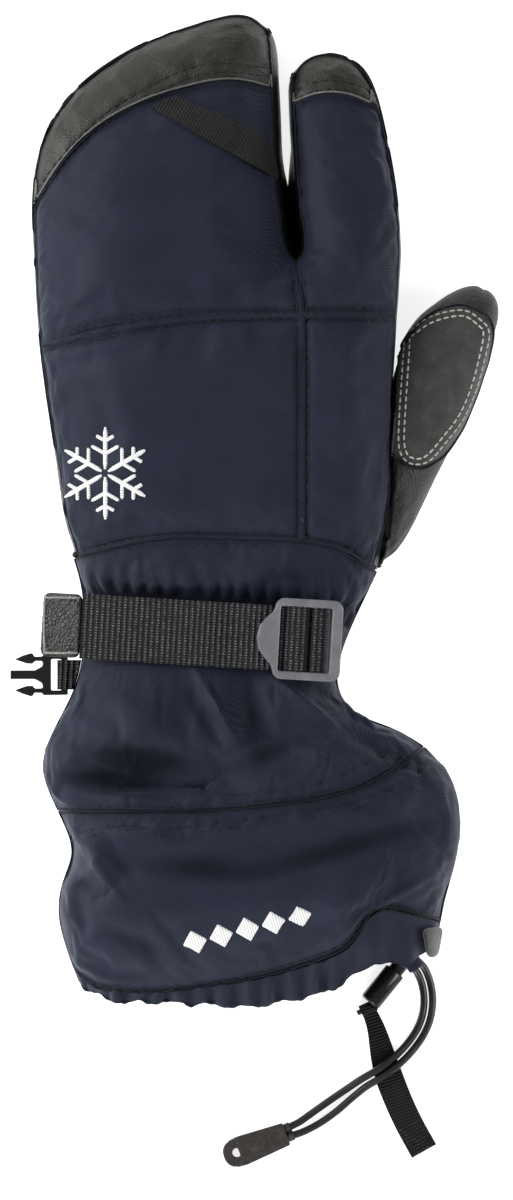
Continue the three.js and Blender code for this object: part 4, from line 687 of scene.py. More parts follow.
class Wire:
    """A shader socket. An expression on wires adds the Math nodes for it."""

    def __init__(self, finish, socket):
        self.finish = finish
        self.socket = socket

    def _math(self, operation, first, second):
        return self.finish.node("ShaderNodeMath", {"operation": operation}, {0: first, 1: second})

    def __add__(self, other):
        return self._math("ADD", self, other)

    def __sub__(self, other):
        return self._math("SUBTRACT", self, other)

    def __rsub__(self, other):
        return self._math("SUBTRACT", other, self)

    def __mul__(self, other):
        return self._math("MULTIPLY", self, other)

    def __gt__(self, other):
        return self._math("GREATER_THAN", self, other)

    __radd__ = __add__
    __rmul__ = __mul__


class Finish:
    """One material being built on a Principled shader."""

    def __init__(self, name, roughness, **constants):
        self.material = bpy.data.materials.new(name)
        self.material.use_nodes = True
        self.tree = self.material.node_tree
        self.shader = next(n for n in self.tree.nodes if n.type == "BSDF_PRINCIPLED")
        self.shader.inputs["Roughness"].default_value = roughness
        for socket, value in constants.items():
            self.shader.inputs[socket.replace("_", " ")].default_value = value

    def plug(self, socket, value):
        if isinstance(value, Wire):
            self.tree.links.new(value.socket, socket)
        elif isinstance(value, tuple) and len(value) == 3 and socket.type == "RGBA":
            socket.default_value = (*value, 1)
        else:
            socket.default_value = value

    def node(self, kind, settings=None, values=None, output=0):
        made = self.tree.nodes.new(kind)
        for key, value in (settings or {}).items():
            if key == "ramp":
                self.set_ramp(made.color_ramp, value)
            else:
                setattr(made, key, value)
        for key, value in (values or {}).items():
            self.plug(made.inputs[key], value)
        return Wire(self, made.outputs[output])

    @staticmethod
    def set_ramp(ramp, stops):
        while len(ramp.elements) < len(stops):
            ramp.elements.new(1)
        for element, (place, colour) in zip(ramp.elements, stops):
            element.position = place
            element.color = (*colour, 1) if isinstance(colour, tuple) else (colour, colour, colour, 1)

    def place(self, turn=0.0, source="Object"):
        where = self.node("ShaderNodeTexCoord", output=source)
        values = {"Vector": where, "Rotation": (0, 0, turn)}
        return self.node("ShaderNodeMapping", values=values)

    def noise(self, where, scale, detail=3.0, roughness=0.5):
        values = {"Vector": where, "Scale": scale, "Detail": detail, "Roughness": roughness}
        return self.node("ShaderNodeTexNoise", values=values)

    def ribs(self, where, scale, direction="X", distortion=0.0):
        return self.node(
            "ShaderNodeTexWave",
            {"wave_type": "BANDS", "bands_direction": direction, "wave_profile": "SIN"},
            {"Vector": where, "Scale": scale, "Distortion": distortion},
        )

    def grains(self, where, scale, feature="F1"):
        return self.node("ShaderNodeTexVoronoi", {"feature": feature}, {"Vector": where, "Scale": scale})

    def ramp(self, value, *stops):
        return self.node("ShaderNodeValToRGB", {"ramp": stops}, {0: value})

    def tints(self, value, base, *stops):
        """A ramp over tints of one colour: a (place, share) for each stop."""
        return self.ramp(value, *[(place, tinted(base, share)) for place, share in stops])

    def blend(self, share, first, second):
        return self.node("ShaderNodeMix", {"data_type": "RGBA"}, {0: share, 6: first, 7: second}, output=2)

    def furrow(self):
        """How deep in a fold or seam this place lies, from 0 to 1, which sets how much painted shade it gets.
        """
        return self.node("ShaderNodeAttribute", {"attribute_name": "furrow"}, output=2)

    def bump(self, height, distance, strength=1.0, under=None):
        values = {"Height": height, "Distance": distance, "Strength": strength}
        if under is not None:
            values["Normal"] = under
        return self.node("ShaderNodeBump", values=values)

    def wear(self, **sockets):
        for name, value in sockets.items():
            self.plug(self.shader.inputs[name.replace("_", " ")], value)
        return self.material


def navy_cloth():
    base = base_colour("navy")
    cloth = Finish(
        "navy stretch cloth",
        0.6,
        Sheen_Weight=0.15,
        Sheen_Roughness=0.4,
        Sheen_Tint=(0.55, 0.60, 0.85, 1),
        Specular_IOR_Level=0.16,
        Specular_Tint=(0.78, 0.84, 1.0, 1),
    )
    where = cloth.place()
    warp = cloth.ribs(where, 620, "DIAGONAL")
    weft = cloth.ribs(where, 560, "Y", 0.6)
    weave = warp * 0.6 + weft * 0.4
    mottle = cloth.noise(where, 55, 5, 0.6)
    rub = cloth.noise(where, 900, 2)
    shade = weave * 0.45 + mottle * 0.45 + rub * 0.25
    colour = cloth.tints(shade, base, (0.25, 0.72), (0.55, 1.18), (0.9, 2.1))
    # Painted shade: the cloth is darkened in its folds and at its seams
    colour = cloth.blend(cloth.furrow() * 0.85, colour, tinted(base, 0.12))
    soft = cloth.bump(cloth.noise(where, 210, 4, 0.55), 0.0004, 0.35)
    fine = cloth.bump(weave, 0.00012, 0.5, soft)
    return cloth.wear(Base_Color=colour, Roughness=mottle * 0.15 + cloth.furrow() * 0.3 + 0.52, Normal=fine)


def black_leather(name="black leather", gloss=0.0, light=1.0, olive=0.0):
    red, green, blue = base_colour("leather", light)
    base = (red, green * (1 - olive / 20), blue * (1 - olive / 3))
    leather = Finish(name, 0.5, Specular_IOR_Level=0.45)
    where = leather.place()
    cells = leather.grains(where, 760, "DISTANCE_TO_EDGE")
    pebbles = leather.ramp(cells, (0.0, 0.0), (0.35, 1.0))
    broad = leather.noise(where, 120, 5, 0.65)
    folds = leather.noise(where, 330, 4, 0.6)
    colour = leather.tints(broad * 0.6 + pebbles * 0.4, base, (0.2, 0.45), (0.6, 1), (0.95, 1.9))
    # Painted shade: the leather is darkened in its folds and at its seams
    colour = leather.blend(leather.furrow() * 0.6, colour, tinted(base, 0.25))
    creases = leather.bump(folds, 0.0006, 0.5)
    grain = leather.bump(pebbles, 0.00014, 0.6, creases)
    return leather.wear(Base_Color=colour, Roughness=broad * 0.3 + (0.36 - gloss), Normal=grain)


def grey_suede():
    suede = Finish("grey suede", 0.92, Sheen_Weight=0.3, Sheen_Roughness=0.6, Specular_IOR_Level=0.2)
    where = suede.place()
    nap = suede.noise(where, 1500, 4, 0.7)
    brushed = suede.noise(where, 150, 5, 0.6)
    shade = nap * 0.45 + brushed * 0.55
    colour = suede.tints(shade, base_colour("suede"), (0.3, 0.45), (0.5, 1), (0.72, 2.2))
    return suede.wear(Base_Color=colour, Normal=suede.bump(nap, 0.00025, 0.8))


def fleece_lining():
    fleece = Finish("fleece lining", 0.95, Sheen_Weight=0.15, Specular_IOR_Level=0.1)
    where = fleece.place()
    pile = fleece.grains(where, 620)
    clumps = fleece.noise(where, 260, 4, 0.7)
    shade = clumps * 0.6 + pile * 0.4
    colour = fleece.tints(shade, base_colour("lining"), (0.2, 0.5), (0.5, 1), (0.8, 1.8))
    return fleece.wear(Base_Color=colour, Normal=fleece.bump(pile + clumps, 0.0008, 0.8))


def woven_webbing(name, degrees, pitch, flecks, light_rib=5.0):
    """Ribs across a band that is turned by this much, with light flecks between them."""
    base = base_colour("webbing")
    web = Finish(name, 0.72, Specular_IOR_Level=0.3)
    where = web.place(turn=math.radians(degrees))
    rib = web.ribs(where, WAVE_PERIOD / pitch, "X", 0.15)
    cross = web.ribs(where, WAVE_PERIOD / (pitch * 0.48), "Y", 0.3)
    speck = web.noise(where, 1300, 2, 0.7)
    shade = rib * (cross * 0.7 + 0.3) + speck * 0.25 - 0.12
    body = web.tints(shade, base, (0.1, 0.15), (0.45, 1), (0.85, light_rib))
    light = (rib * cross > 0.55) * (speck > 0.5) * flecks
    colour = web.blend(light, body, tinted(base, 17.0))
    relief = web.bump(rib * 0.75 + cross * rib * 0.35, 0.0007, 1.0)
    return web.wear(Base_Color=colour, Normal=relief)


def moulded_plastic(name, colour_name, roughness, texture):
    plastic = Finish(name, roughness, Specular_IOR_Level=0.5)
    where = plastic.place()
    spark = plastic.noise(where, 1900, 2, 0.6)
    scuffs = plastic.noise(where, 160, 5, 0.7)
    colour = plastic.tints(scuffs, base_colour(colour_name), (0.35, 0.8), (0.6, 1), (0.8, 1.35))
    relief = plastic.bump(spark, 0.00008, texture)
    return plastic.wear(Base_Color=colour, Roughness=scuffs * 0.25 + (roughness - 0.1), Normal=relief)


def brown_rubber():
    rubber = Finish("brown rubber", 0.55, Specular_IOR_Level=0.45)
    dust = rubber.noise(rubber.place(), 420, 5, 0.7)
    colour = rubber.tints(dust, base_colour("rubber"), (0.35, 0.6), (0.55, 1), (0.75, 2.4))
    return rubber.wear(Base_Color=colour, Roughness=dust * 0.3 + 0.4, Normal=rubber.bump(dust, 0.0002, 0.4))


def braided_cord():
    cord = Finish("braided cord", 0.4, Specular_IOR_Level=0.6)
    around = cord.place(source="UV")
    left = cord.ribs(around, 1.0, "DIAGONAL")
    mirrored = cord.node("ShaderNodeMapping", values={"Vector": around, "Scale": (-1, 1, 1)})
    right = cord.ribs(mirrored, 1.0, "DIAGONAL")
    braid = left * right
    colour = cord.tints(braid, base_colour("cord"), (0.0, 0.35), (0.4, 1), (0.9, 2.0))
    return cord.wear(Base_Color=colour, Roughness=braid * -0.15 + 0.42, Normal=cord.bump(braid, 0.0001, 0.5))


def thread(name, colour_name, share=1.0, shine=0.4):
    spun = Finish(name, 0.6, Specular_IOR_Level=shine)
    fibres = spun.noise(spun.place(), 2600, 3, 0.6)
    colour = spun.tints(fibres, base_colour(colour_name, share), (0.3, 0.72), (0.6, 1))
    return spun.wear(Base_Color=colour, Normal=spun.bump(fibres, 0.0001, 0.5))


def satin_stitch():
    satin = Finish("white satin stitch", 0.5, Specular_IOR_Level=0.4, Sheen_Weight=0.2)
    lines = satin.ribs(satin.place(source="UV"), 1.0, "X", 0.8)
    colour = satin.tints(lines, base_colour("white_thread"), (0.0, 0.55), (0.35, 0.92), (0.8, 1))
    return satin.wear(Base_Color=colour, Normal=satin.bump(lines, 0.00015, 0.6))


FLOOR_GLOW = 0.8  # a lit table, which keeps the ground white as in a product photo


def pale_floor():
    floor = Finish(
        "pale floor", 0.9, Specular_IOR_Level=0.1, Emission_Strength=FLOOR_GLOW, Emission_Color=(1, 1, 1, 1)
    )
    patches = floor.noise(floor.place(), 3)
    return floor.wear(Base_Color=floor.tints(patches, base_colour("floor"), (0.3, 0.99), (0.7, 1)))


# Finishes: the record's slot of a piece that has it, the material's maker, and what the maker is told
FINISHES = {
    "navy": ("navy_shell", navy_cloth),
    "rolled": ("navy_shell", thread, "rolled cloth edge", "navy", 0.6, 0.15),
    "satin": ("navy_shell", satin_stitch),
    "dark_thread": ("navy_shell", thread, "navy thread", "dark_thread"),
    "leather": ("black_leather", black_leather),
    "cap_leather": ("black_leather", black_leather, "olive black leather", 0.0, 1.0, 1.0),
    "tab_leather": ("black_leather", black_leather, "glossy leather", 0.1, 0.4),
    "binding": ("black_leather", black_leather, "glossy binding", 0.14, 0.5),
    "edge": ("black_leather", black_leather, "pale leather edge", 0.05, 9.0),
    "tab_edge": ("black_leather", black_leather, "pale tab edge", 0.05, 18.0),
    "suede": ("grey_suede", grey_suede),
    "cream_thread": ("grey_suede", thread, "cream thread", "cream_thread"),
    "strap": ("black_webbing", woven_webbing, "strap webbing", 3.4, 0.0020, 1.3),
    "back_ribbon": ("black_webbing", woven_webbing, "back ribbon", 29.5, 0.0011, 0.1, 1.8),
    "pull_ribbon": ("black_webbing", woven_webbing, "pull ribbon", 72, 0.0011, 0.1, 1.6),
    "ridge": ("black_webbing", woven_webbing, "ribbon end", -20, 0.0008, 0.8, 14.0),
    "buckle": ("grey_buckle", moulded_plastic, "grey moulded plastic", "buckle", 0.3, 0.3),
    "plastic": ("black_plastic", moulded_plastic, "black moulded plastic", "plastic", 0.2, 0.15),
    "rubber": ("brown_rubber", brown_rubber),
    "cord": ("elastic_cord", braided_cord),
    "lining": (None, fleece_lining),
    "floor": (None, pale_floor),
}
MATERIALS = {}


def material(finish):
    """Each material is made once, when it is first asked for."""
    if finish not in MATERIALS:
        _, maker, *told = FINISHES[finish]
        MATERIALS[finish] = maker(*told)
    return MATERIALS[finish]


# Lines laid on the finished surface
CURVE_STEPS = 24
HIGH_ABOVE = 0.2
DOWN = Vector((0, 0, -1))


class Ground:
    """Finished surfaces, on which stitches, piping and embroidery are laid."""

    def __init__(self, objects):
        points, faces, start = [], [], 0
        for obj in objects:
            co = read_points(obj.data)
            points.extend(map(tuple, co))
            faces.extend(tuple(v + start for v in p.vertices) for p in obj.data.polygons)
            start += len(co)
        self.tree = BVHTree.FromPolygons(points, faces)

    def under(self, x, y):
        """The highest surface point at (x, y) and its normal, or None twice."""
        return self.tree.ray_cast(Vector((x, y, HIGH_ABOVE)), DOWN)[:2]


def dense_curve(knots, steps):
    """Points on a smooth curve through the knots, with this many steps from one to the next."""
    dense = []
    spans = [knots[0] * 2 - knots[1], *knots, knots[-1] * 2 - knots[-2]]
    for p0, p1, p2, p3 in zip(spans, spans[1:], spans[2:], spans[3:]):
        for step in range(steps):
            t = step / steps
            square = (2 * p0 - 5 * p1 + 4 * p2 - p3) * t**2
            cube = (3 * p1 - p0 - 3 * p2 + p3) * t**3
            dense.append(0.5 * (2 * p1 + (p2 - p0) * t + square + cube))
    return [*dense, knots[-1]]


def even_points(dense, spacing):
    """Points at about this spacing along a line."""
    lengths = [0.0]
    for a, b in zip(dense, dense[1:]):
        lengths.append(lengths[-1] + (b - a).length)
    count = max(1, round(lengths[-1] / spacing))
    out, i = [], 0
    for k in range(count + 1):
        target = lengths[-1] * k / count
        while i < len(dense) - 2 and lengths[i + 1] < target:
            i += 1
        share = (target - lengths[i]) / max(1e-9, lengths[i + 1] - lengths[i])
        out.append(dense[i].lerp(dense[i + 1], min(1.0, max(0.0, share))))
    return out


def laid(ground, line, spacing, lift):
    """Points on the surface along a run in millimetres, lifted off it, each with its normal."""
    out = []
    knots = [Vector((*p, 0)) * MM for p in line]
    for p in even_points(dense_curve(knots, CURVE_STEPS), spacing):
        hit, normal = ground.under(p.x, p.y)
        if hit is not None:
            out.append((hit + normal * lift, normal))
    return out


STITCH_BLUNT = 0.6  # a stitch's ends are blunter than a sphere's, which have 1


def stitch_shape():
    """One stitch, a unit bead along X, modelled once."""
    deselect()
    bpy.ops.mesh.primitive_uv_sphere_add(segments=8, ring_count=5, radius=1, rotation=(0, math.pi / 2, 0))
    bead = bpy.context.object
    bpy.ops.object.transform_apply(rotation=True)
    points = read_points(bead.data)
    points[:, 0] = np.sign(points[:, 0]) * np.abs(points[:, 0]) ** STITCH_BLUNT
    faces = sorted(tuple(p.vertices) for p in bead.data.polygons)  # their own order changes from run to run
    mesh = bead.data
    bpy.data.objects.remove(bead)
    bpy.data.meshes.remove(mesh)
    return points, faces


STITCH = {}


def sew(name, runs, finish, slot, thread_sizes=None):
    """Rows of stitches along runs of (point, normal), from a stitch's length, gap and thickness."""
    if not STITCH:
        STITCH["points"], STITCH["faces"] = stitch_shape()
    size = sizes()
    long, gap, thick = thread_sizes or (size.stitch_long, size.stitch_gap, size.stitch_thick)
    points, faces = [], []
    for run in runs:
        if len(run) < 2:
            continue
        line = even_points([p for p, _ in run], long + gap)
        tree = tree_of([p for p, _ in run])
        for a, b in zip(line, line[1:]):
            middle = (a + b) / 2
            along = (b - a).normalized()
            normal = run[tree.find(middle)[1]][1]
            across = normal.cross(along).normalized()
            up = along.cross(across)
            turn = np.array([along * (long / 2), across * (thick / 2), up * (thick / 2)])
            start = len(points)
            points.extend(STITCH["points"] @ turn + np.array(middle))
            faces.extend(tuple(v + start for v in f) for f in STITCH["faces"])
    return finish_piece(mesh_piece(name, points, faces), finish, slot=slot)


def course(points):
    """The direction of a line at each of its points."""
    pairs = zip(points[:1] + points[:-1], points[1:] + points[-1:])
    return [(after - before).normalized() for before, after in pairs]


def loft(rings, sides, order):
    """Quads between rings of points, their (side, ring) corners, and the first and last ring."""
    faces, places = [], []
    for i in range(rings - 1):
        for k in range(sides):
            quad = [(k + right, i + up) for right, up in order]
            faces.append(tuple(ring * sides + side % sides for side, ring in quad))
            places.append(quad)
    return faces, places, tuple(range(sides)), tuple(range((rings - 1) * sides, rings * sides))


def tube_form(path, radius, sides=10):
    """Points, faces and UVs of a closed round tube; the UV counts sides and steps."""
    ways = course(path)
    side = ways[0].orthogonal().normalized()
    points = []
    for p, way in zip(path, ways):
        side = (side - way * side.dot(way)).normalized()
        other = way.cross(side)
        for k in range(sides):
            turn = 2 * math.pi * k / sides
            points.append(p + side * (radius * math.cos(turn)) + other * (radius * math.sin(turn)))
    faces, uvs, first, last = loft(len(path), sides, ((0, 0), (1, 0), (1, 1), (0, 1)))
    return points, [*faces, first[::-1], last], uvs + [[(k, 0) for k in range(sides)]] * 2


STROKE_PROFILE = [(-1, 0), (-0.72, 0.75), (0, 1), (0.72, 0.75), (1, 0), (0.9, -0.5), (-0.9, -0.5)]


def satin_form(run, widths, height):
    """A padded stroke of embroidery along a run of (point, normal); the UV counts steps and sides."""
    points = []
    for (p, normal), along, width in zip(run, course([p for p, _ in run]), widths):
        across = normal.cross(along).normalized()
        for u, v in STROKE_PROFILE:
            points.append(p + across * (u * width / 2) + normal * (v * height))
    sides = len(STROKE_PROFILE)
    faces, places, first, last = loft(len(run), sides, ((1, 0), (0, 0), (0, 1), (1, 1)))
    uvs = [[(ring, side) for side, ring in quad] for quad in places]
    return points, [*faces, first, last[::-1]], uvs + [[(0, 0)] * sides] * 2


def heap(name, finish, forms, *nodes, uv_scale=(1, 1)):
    """One piece of many small closed forms."""
    points, faces, uvs = [], [], []
    for form_points, form_faces, form_uvs in forms:
        start = len(points)
        points.extend(form_points)
        faces.extend(tuple(v + start for v in face) for face in form_faces)
        uvs.extend(uv for face in form_uvs for uv in face)
    obj = mesh_piece(name, points, faces)
    layer = obj.data.uv_layers.new(name="UVMap")
    layer.data.foreach_set("uv", [c * s for uv in uvs for c, s in zip(uv, uv_scale)])
    return finish_piece(obj, finish, *nodes)


SKIN_WHOLE = 0.999
SHORTEST_BORDER = 8  # a run with no more points than this is left out
ROLL_RADIUS = 0.44 * MM
ROLL_SINK = 0.5 * MM
ROLL_STEP = 1.5 * MM


def rim_runs(obj):
    """The closed borders of a panel's outer skin, as runs of (point, normal)."""
    mesh = obj.data
    skin = read_attribute(mesh, "skin")
    sides = {}
    for polygon in mesh.polygons:
        outer = min(skin[v] for v in polygon.vertices) > SKIN_WHOLE
        for key in polygon.edge_keys:
            sides.setdefault(key, []).append(outer)
    links = {}
    for (a, b), outer in sides.items():
        if len(outer) == 2 and outer[0] != outer[1]:
            links.setdefault(a, []).append(b)
            links.setdefault(b, []).append(a)
    runs, used = [], set()
    for first in links:
        if first in used:
            continue
        run, here = [first], first
        used.add(first)
        while True:
            ahead = [v for v in links[here] if v not in used]
            if not ahead:
                break
            here = ahead[0]
            used.add(here)
            run.append(here)
        if len(run) > SHORTEST_BORDER:
            closed = [mesh.vertices[v] for v in run + run[:1]]
            runs.append([(vert.co.copy(), vert.normal.copy()) for vert in closed])
    return runs


def rolled_edges(panels):
    """Forms of the rolled edges in which the panels meet."""
    forms = []
    for obj in panels:
        for run in rim_runs(obj):
            sunk = [p - normal * ROLL_SINK for p, normal in run]
            line = even_points(sunk, ROLL_STEP)
            for p in line:
                p.z = max(p.z, ROLL_RADIUS)
            forms.append(tube_form(line, ROLL_RADIUS, 6))
    return forms


def inset(line, away):
    """A closed run moved inward by this many millimetres."""
    points = [Vector(p) for p in line]
    middle = sum(points, Vector((0, 0))) / len(points)
    out = []
    for i, p in enumerate(points):
        way = (points[(i + 1) % len(points)] - points[i - 1]).normalized()
        inward = Vector((-way.y, way.x))
        if inward.dot(middle - p) < 0:
            inward = -inward
        out.append(tuple(p + inward * away))
    return out + out[:1]


# Operators, one for each piece or group of like pieces: the stage first
FLOOR_SIZE = 6
FLOOR_DROP = -0.3 * MM
ROOM_LIGHT = 0.22
VIEW_HEIGHT = 432 * MM
VIEW_MIDDLE = (13.86 * MM, -61.2 * MM)
CAMERA_HEIGHT = 5.0
SENSOR = 24
LIGHT_AIM = Vector((0, -0.05, 0))
LIGHTS = [
    # name, place, size and power
    ("left_window", (-1.2, 0.3, 0.75), 0.8, 23),
    ("back_window", (-0.4, 1.35, 0.8), 0.7, 4),
    ("front_window", (-0.2, -1.3, 0.6), 0.6, 11),
    ("right_window", (1.25, -0.2, 0.8), 0.8, 11),
]


def add_light(name, place, size, power):
    data = bpy.data.lights.new(name, "AREA")
    data.size = size
    data.energy = power
    light = bpy.data.objects.new(name, data)
    light.location = place
    light.rotation_euler = (LIGHT_AIM - Vector(place)).to_track_quat("-Z", "Y").to_euler()
    bpy.context.collection.objects.link(light)


class StageOperator(bpy.types.Operator):
    """Lays a pale floor, soft lights and a camera that looks straight down"""

    bl_idname = "mitten.stage"
    bl_label = "Stage"

    def execute(self, context):
        scene = context.scene
        deselect()
        bpy.ops.mesh.primitive_plane_add(size=FLOOR_SIZE, location=(0, 0, FLOOR_DROP))
        floor = context.object
        floor.name = "floor"
        bpy.ops.object.transform_apply(location=True)
        floor.data.materials.append(material("floor"))
        world = bpy.data.worlds.new("pale room")
        world.use_nodes = True
        background = world.node_tree.nodes["Background"]
        background.inputs["Color"].default_value = (1, 1, 1, 1)
        background.inputs["Strength"].default_value = ROOM_LIGHT
        scene.world = world
        for light in LIGHTS:
            add_light(*light)
        camera = bpy.data.cameras.new("above")
        camera.sensor_fit = "VERTICAL"
        camera.sensor_height = SENSOR
        camera.lens = SENSOR * CAMERA_HEIGHT / VIEW_HEIGHT
        camera.clip_end = 50
        eye = bpy.data.objects.new("above", camera)
        eye.location = (*VIEW_MIDDLE, CAMERA_HEIGHT)
        context.collection.objects.link(eye)
        scene.camera = eye
        scene.view_settings.view_transform = "Standard"
        return {"FINISHED"}


# Drawcord: the route that its solids take, in millimetres, with half the distance of its strands
CORD_ROUTE = [
    (70.9, -192.2, 3.4, 1.55),
    (72.8, -194.2, 2.4, 1.55),
    (74.4, -197.6, 1.6, 1.55),
    (75.4, -201.6, 1.4, 1.55),
    (75.7, -206.2, 1.4, 1.55),
    (75.0, -211.2, 1.4, 1.55),
    (73.2, -216.0, 1.4, 1.55),
    (70.4, -220.4, 1.7, 1.55),
    (66.8, -224.6, 2.4, 1.55),
    (62.6, -228.4, 2.9, 1.55),
    (57.8, -231.8, 2.9, 1.55),
    (52.4, -235.0, 2.3, 1.6),
    (47.0, -239.0, 1.6, 1.9),
    (41.0, -243.6, 1.4, 2.3),
    (35.0, -247.8, 1.4, 2.3),
    (30.0, -250.8, 1.8, 1.9),
    (25.1, -252.8, 2.4, 1.6),
]


CORD_STEP = 0.8 * MM
CORD_SIDES = 14
BRAID_SCALE = (0.09, 0.028)
SLEEVE_BEFORE, SLEEVE_PAST, SLEEVE_RADIUS, SLEEVE_SIDES = 1.6 * MM, 2 * MM, 1.8 * MM, 16
CHANNEL_MOUTH = [Vector(p) * MM for p in ((65.6, -185.6, 5.4), (68.6, -189.6, 4.4), (71.4, -193.4, 3.4))]
CHANNEL_RADIUS, CHANNEL_SIDES = 3.1 * MM, 20
STRANDS = (("drawcord_inner", -1), ("drawcord_outer", 1))  # each with its side of the route


def strand_path(side):
    knots = []
    ends = zip(CORD_ROUTE, CORD_ROUTE[:1] + CORD_ROUTE[:-1], CORD_ROUTE[1:] + CORD_ROUTE[-1:])
    for (x, y, z, split), before, after in ends:
        away = Vector((-(after[1] - before[1]), after[0] - before[0], 0)).normalized() * (side * split)
        knots.append((Vector((x, y, z)) + away) * MM)
    return even_points(dense_curve(knots, CURVE_STEPS // 2), CORD_STEP)


def moulded_piece(node, name, finish, voxel, rounds):
    """A moulded fitting: its solid's form, remeshed finely and worn round at every edge."""
    obj = edit_copy(node, name)
    apply(obj, "REMESH", mode="VOXEL", voxel_size=voxel * MM, adaptivity=0)
    apply(obj, "SMOOTH", factor=0.5, iterations=rounds)
    work_on(obj)
    bpy.ops.object.shade_smooth()
    return finish_piece(obj, finish, node)


class CordOperator(bpy.types.Operator):
    """Makes both strands of the elastic drawcord and the moulded end that they share"""

    bl_idname = "mitten.drawcord"
    bl_label = "Drawcord"

    def execute(self, context):
        end = moulded_piece("cord_end", "cord_end_moulding", "rubber", voxel=0.28, rounds=8)
        radius = sizes().cord_diameter / 2
        sleeves = []
        for node, side in STRANDS:
            path = strand_path(side)
            form = tube_form(path, radius, CORD_SIDES)
            strand = heap(node + "_strand", "cord", [form], node, uv_scale=BRAID_SCALE)
            length = sum((b - a).length for a, b in zip(path, path[1:]))
            way = (path[-1] - path[-2]).normalized()
            ends = [path[-1] - way * SLEEVE_BEFORE, path[-1] + way * SLEEVE_PAST]
            sleeves.append(tube_form(ends, SLEEVE_RADIUS, SLEEVE_SIDES))
        heap("cord_sleeves", "rubber", sleeves)
        channel = tube_form(even_points(CHANNEL_MOUTH, CORD_STEP), CHANNEL_RADIUS, CHANNEL_SIDES)
        heap("cord_channel", "navy", [channel])
        return {"FINISHED"}


HARD_EDGE = 40  # degrees
HARD_BEVEL = 0.3 * MM


def lock_piece(node, name, body=GLOVE):
    """A hard part of the cord lock: its solid's form with rounded edges."""
    obj = edit_copy(node, name, HARD_EDGE)
    obj.data.attributes.remove(obj.data.attributes["crease_edge"])
    apply(
        obj,
        "BEVEL",
        width=HARD_BEVEL,
        segments=3,
        limit_method="ANGLE",
        angle_limit=math.radians(HARD_EDGE),
        use_clamp_overlap=True,
    )
    shade_by_angle(obj, HARD_EDGE)
    return finish_piece(obj, "plastic", node, body=body)


def line_inside(obj):
    """The wall's inner side is the fleece lining."""
    skin = read_attribute(obj.data, "skin")
    obj.data.materials.append(material("lining"))
    for polygon in obj.data.polygons:
        if max(skin[v] for v in polygon.vertices) < 0.5:
            polygon.material_index = 1


# Edges over these degrees are creased in panels and in bands, and stay sharp in the shading
PANEL_EDGE, BAND_EDGE, SHADED_EDGE = 52, 72, 50
FIRST_LEVELS = 2  # the simulation runs on a mesh subdivided this many times


class PanelsOperator(bpy.types.Operator):
    """Makes every padded cloth and leather panel of the mitten"""

    bl_idname = "mitten.panels"
    bl_label = "Padded panels"

    def execute(self, context):
        for node, finish, levels, padding, wrinkle, fill, growth in PANELS:
            obj = edit_copy(node, node + "_soft", PANEL_EDGE)
            mark_skin(obj, node)
            subdivide(obj, FIRST_LEVELS)
            if growth:
                hold_and_fill(obj, growth)
            if levels > FIRST_LEVELS:
                subdivide(obj, levels - FIRST_LEVELS)
            shape_panel(obj, node, padding, wrinkle)
            shade_by_angle(obj, SHADED_EDGE)
            finish_piece(obj, finish, node)
            line_inside(obj)
        return {"FINISHED"}


class FittingsOperator(bpy.types.Operator):
    """Makes the ladder lock, the clip and the cord lock"""

    bl_idname = "mitten.fittings"
    bl_label = "Hard fittings"

    def execute(self, context):
        moulded_piece("ladder_lock", "ladder_lock_frame", "buckle", voxel=0.28, rounds=10)
        moulded_piece("side_release_clip", "side_release_prongs", "plastic", voxel=0.26, rounds=5)
        lock_piece("lock_barrel", "lock_barrel_body")
        lock_piece("lock_plunger", "lock_plunger_head", body=PRESSED)
        return {"FINISHED"}


RIBBON_CLEAR = 0.1 * MM


def seat_ribbon(obj):
    """Raises the ribbon by as much as the back under it has swollen."""
    plain = Ground([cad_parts["mitten_back"]])
    swollen = Ground(made("mitten_back_soft"))
    points = read_points(obj.data)
    rises = []
    for p in points:
        before, _ = plain.under(p[0], p[1])
        after, _ = swollen.under(p[0], p[1])
        rises.append(after.z - before.z if before and after else None)
    known = [r for r in rises if r is not None]
    usual = sum(known) / len(known)
    points[:, 2] += [max(usual if r is None else r, 0) + RIBBON_CLEAR for r in rises]
    write_points(obj.data, points)


BANDS = {
    "wrist_strap": "strap",
    "strap_anchor": "strap",
    "clip_webbing": "strap",
    "back_ribbon": "back_ribbon",
    "pull_ribbon": "pull_ribbon",
}
LOOP_MIDDLE = Vector((54.1, -208.0, 2.4)) * MM
LOOP_ACROSS = Vector((0.906, 0.424, 0))
RIDGES = {"count": 9, "first": (68.9, -250.2), "step": 1.1, "lean": 0.56, "half": (4.4, 2.45)}
RIDGE_RADIUS, LAST_RIDGE = 0.3 * MM, 0.55 * MM


def across_loop(half, radius, sides):
    """A tube across the loop that holds the pull ribbon at the lock."""
    return tube_form([LOOP_MIDDLE - LOOP_ACROSS * half, LOOP_MIDDLE + LOOP_ACROSS * half], radius, sides)


def ridge_forms():
    """The ridges pressed into the pull ribbon's end; the last one closes it."""
    ribbon = Ground(made("pull_ribbon_band"))
    first_x, first_y = RIDGES["first"]
    half_x, half_y = RIDGES["half"]
    forms = []
    for k in range(RIDGES["count"]):
        y = first_y - RIDGES["step"] * k
        x = first_x + (first_y - y) * RIDGES["lean"]
        run = laid(ribbon, [(x - half_x, y - half_y), (x + half_x, y + half_y)], RIDGES["step"] * MM, 0)
        radius = RIDGE_RADIUS if k < RIDGES["count"] - 1 else LAST_RIDGE
        forms.append(tube_form([p for p, _ in run], radius))
    return forms


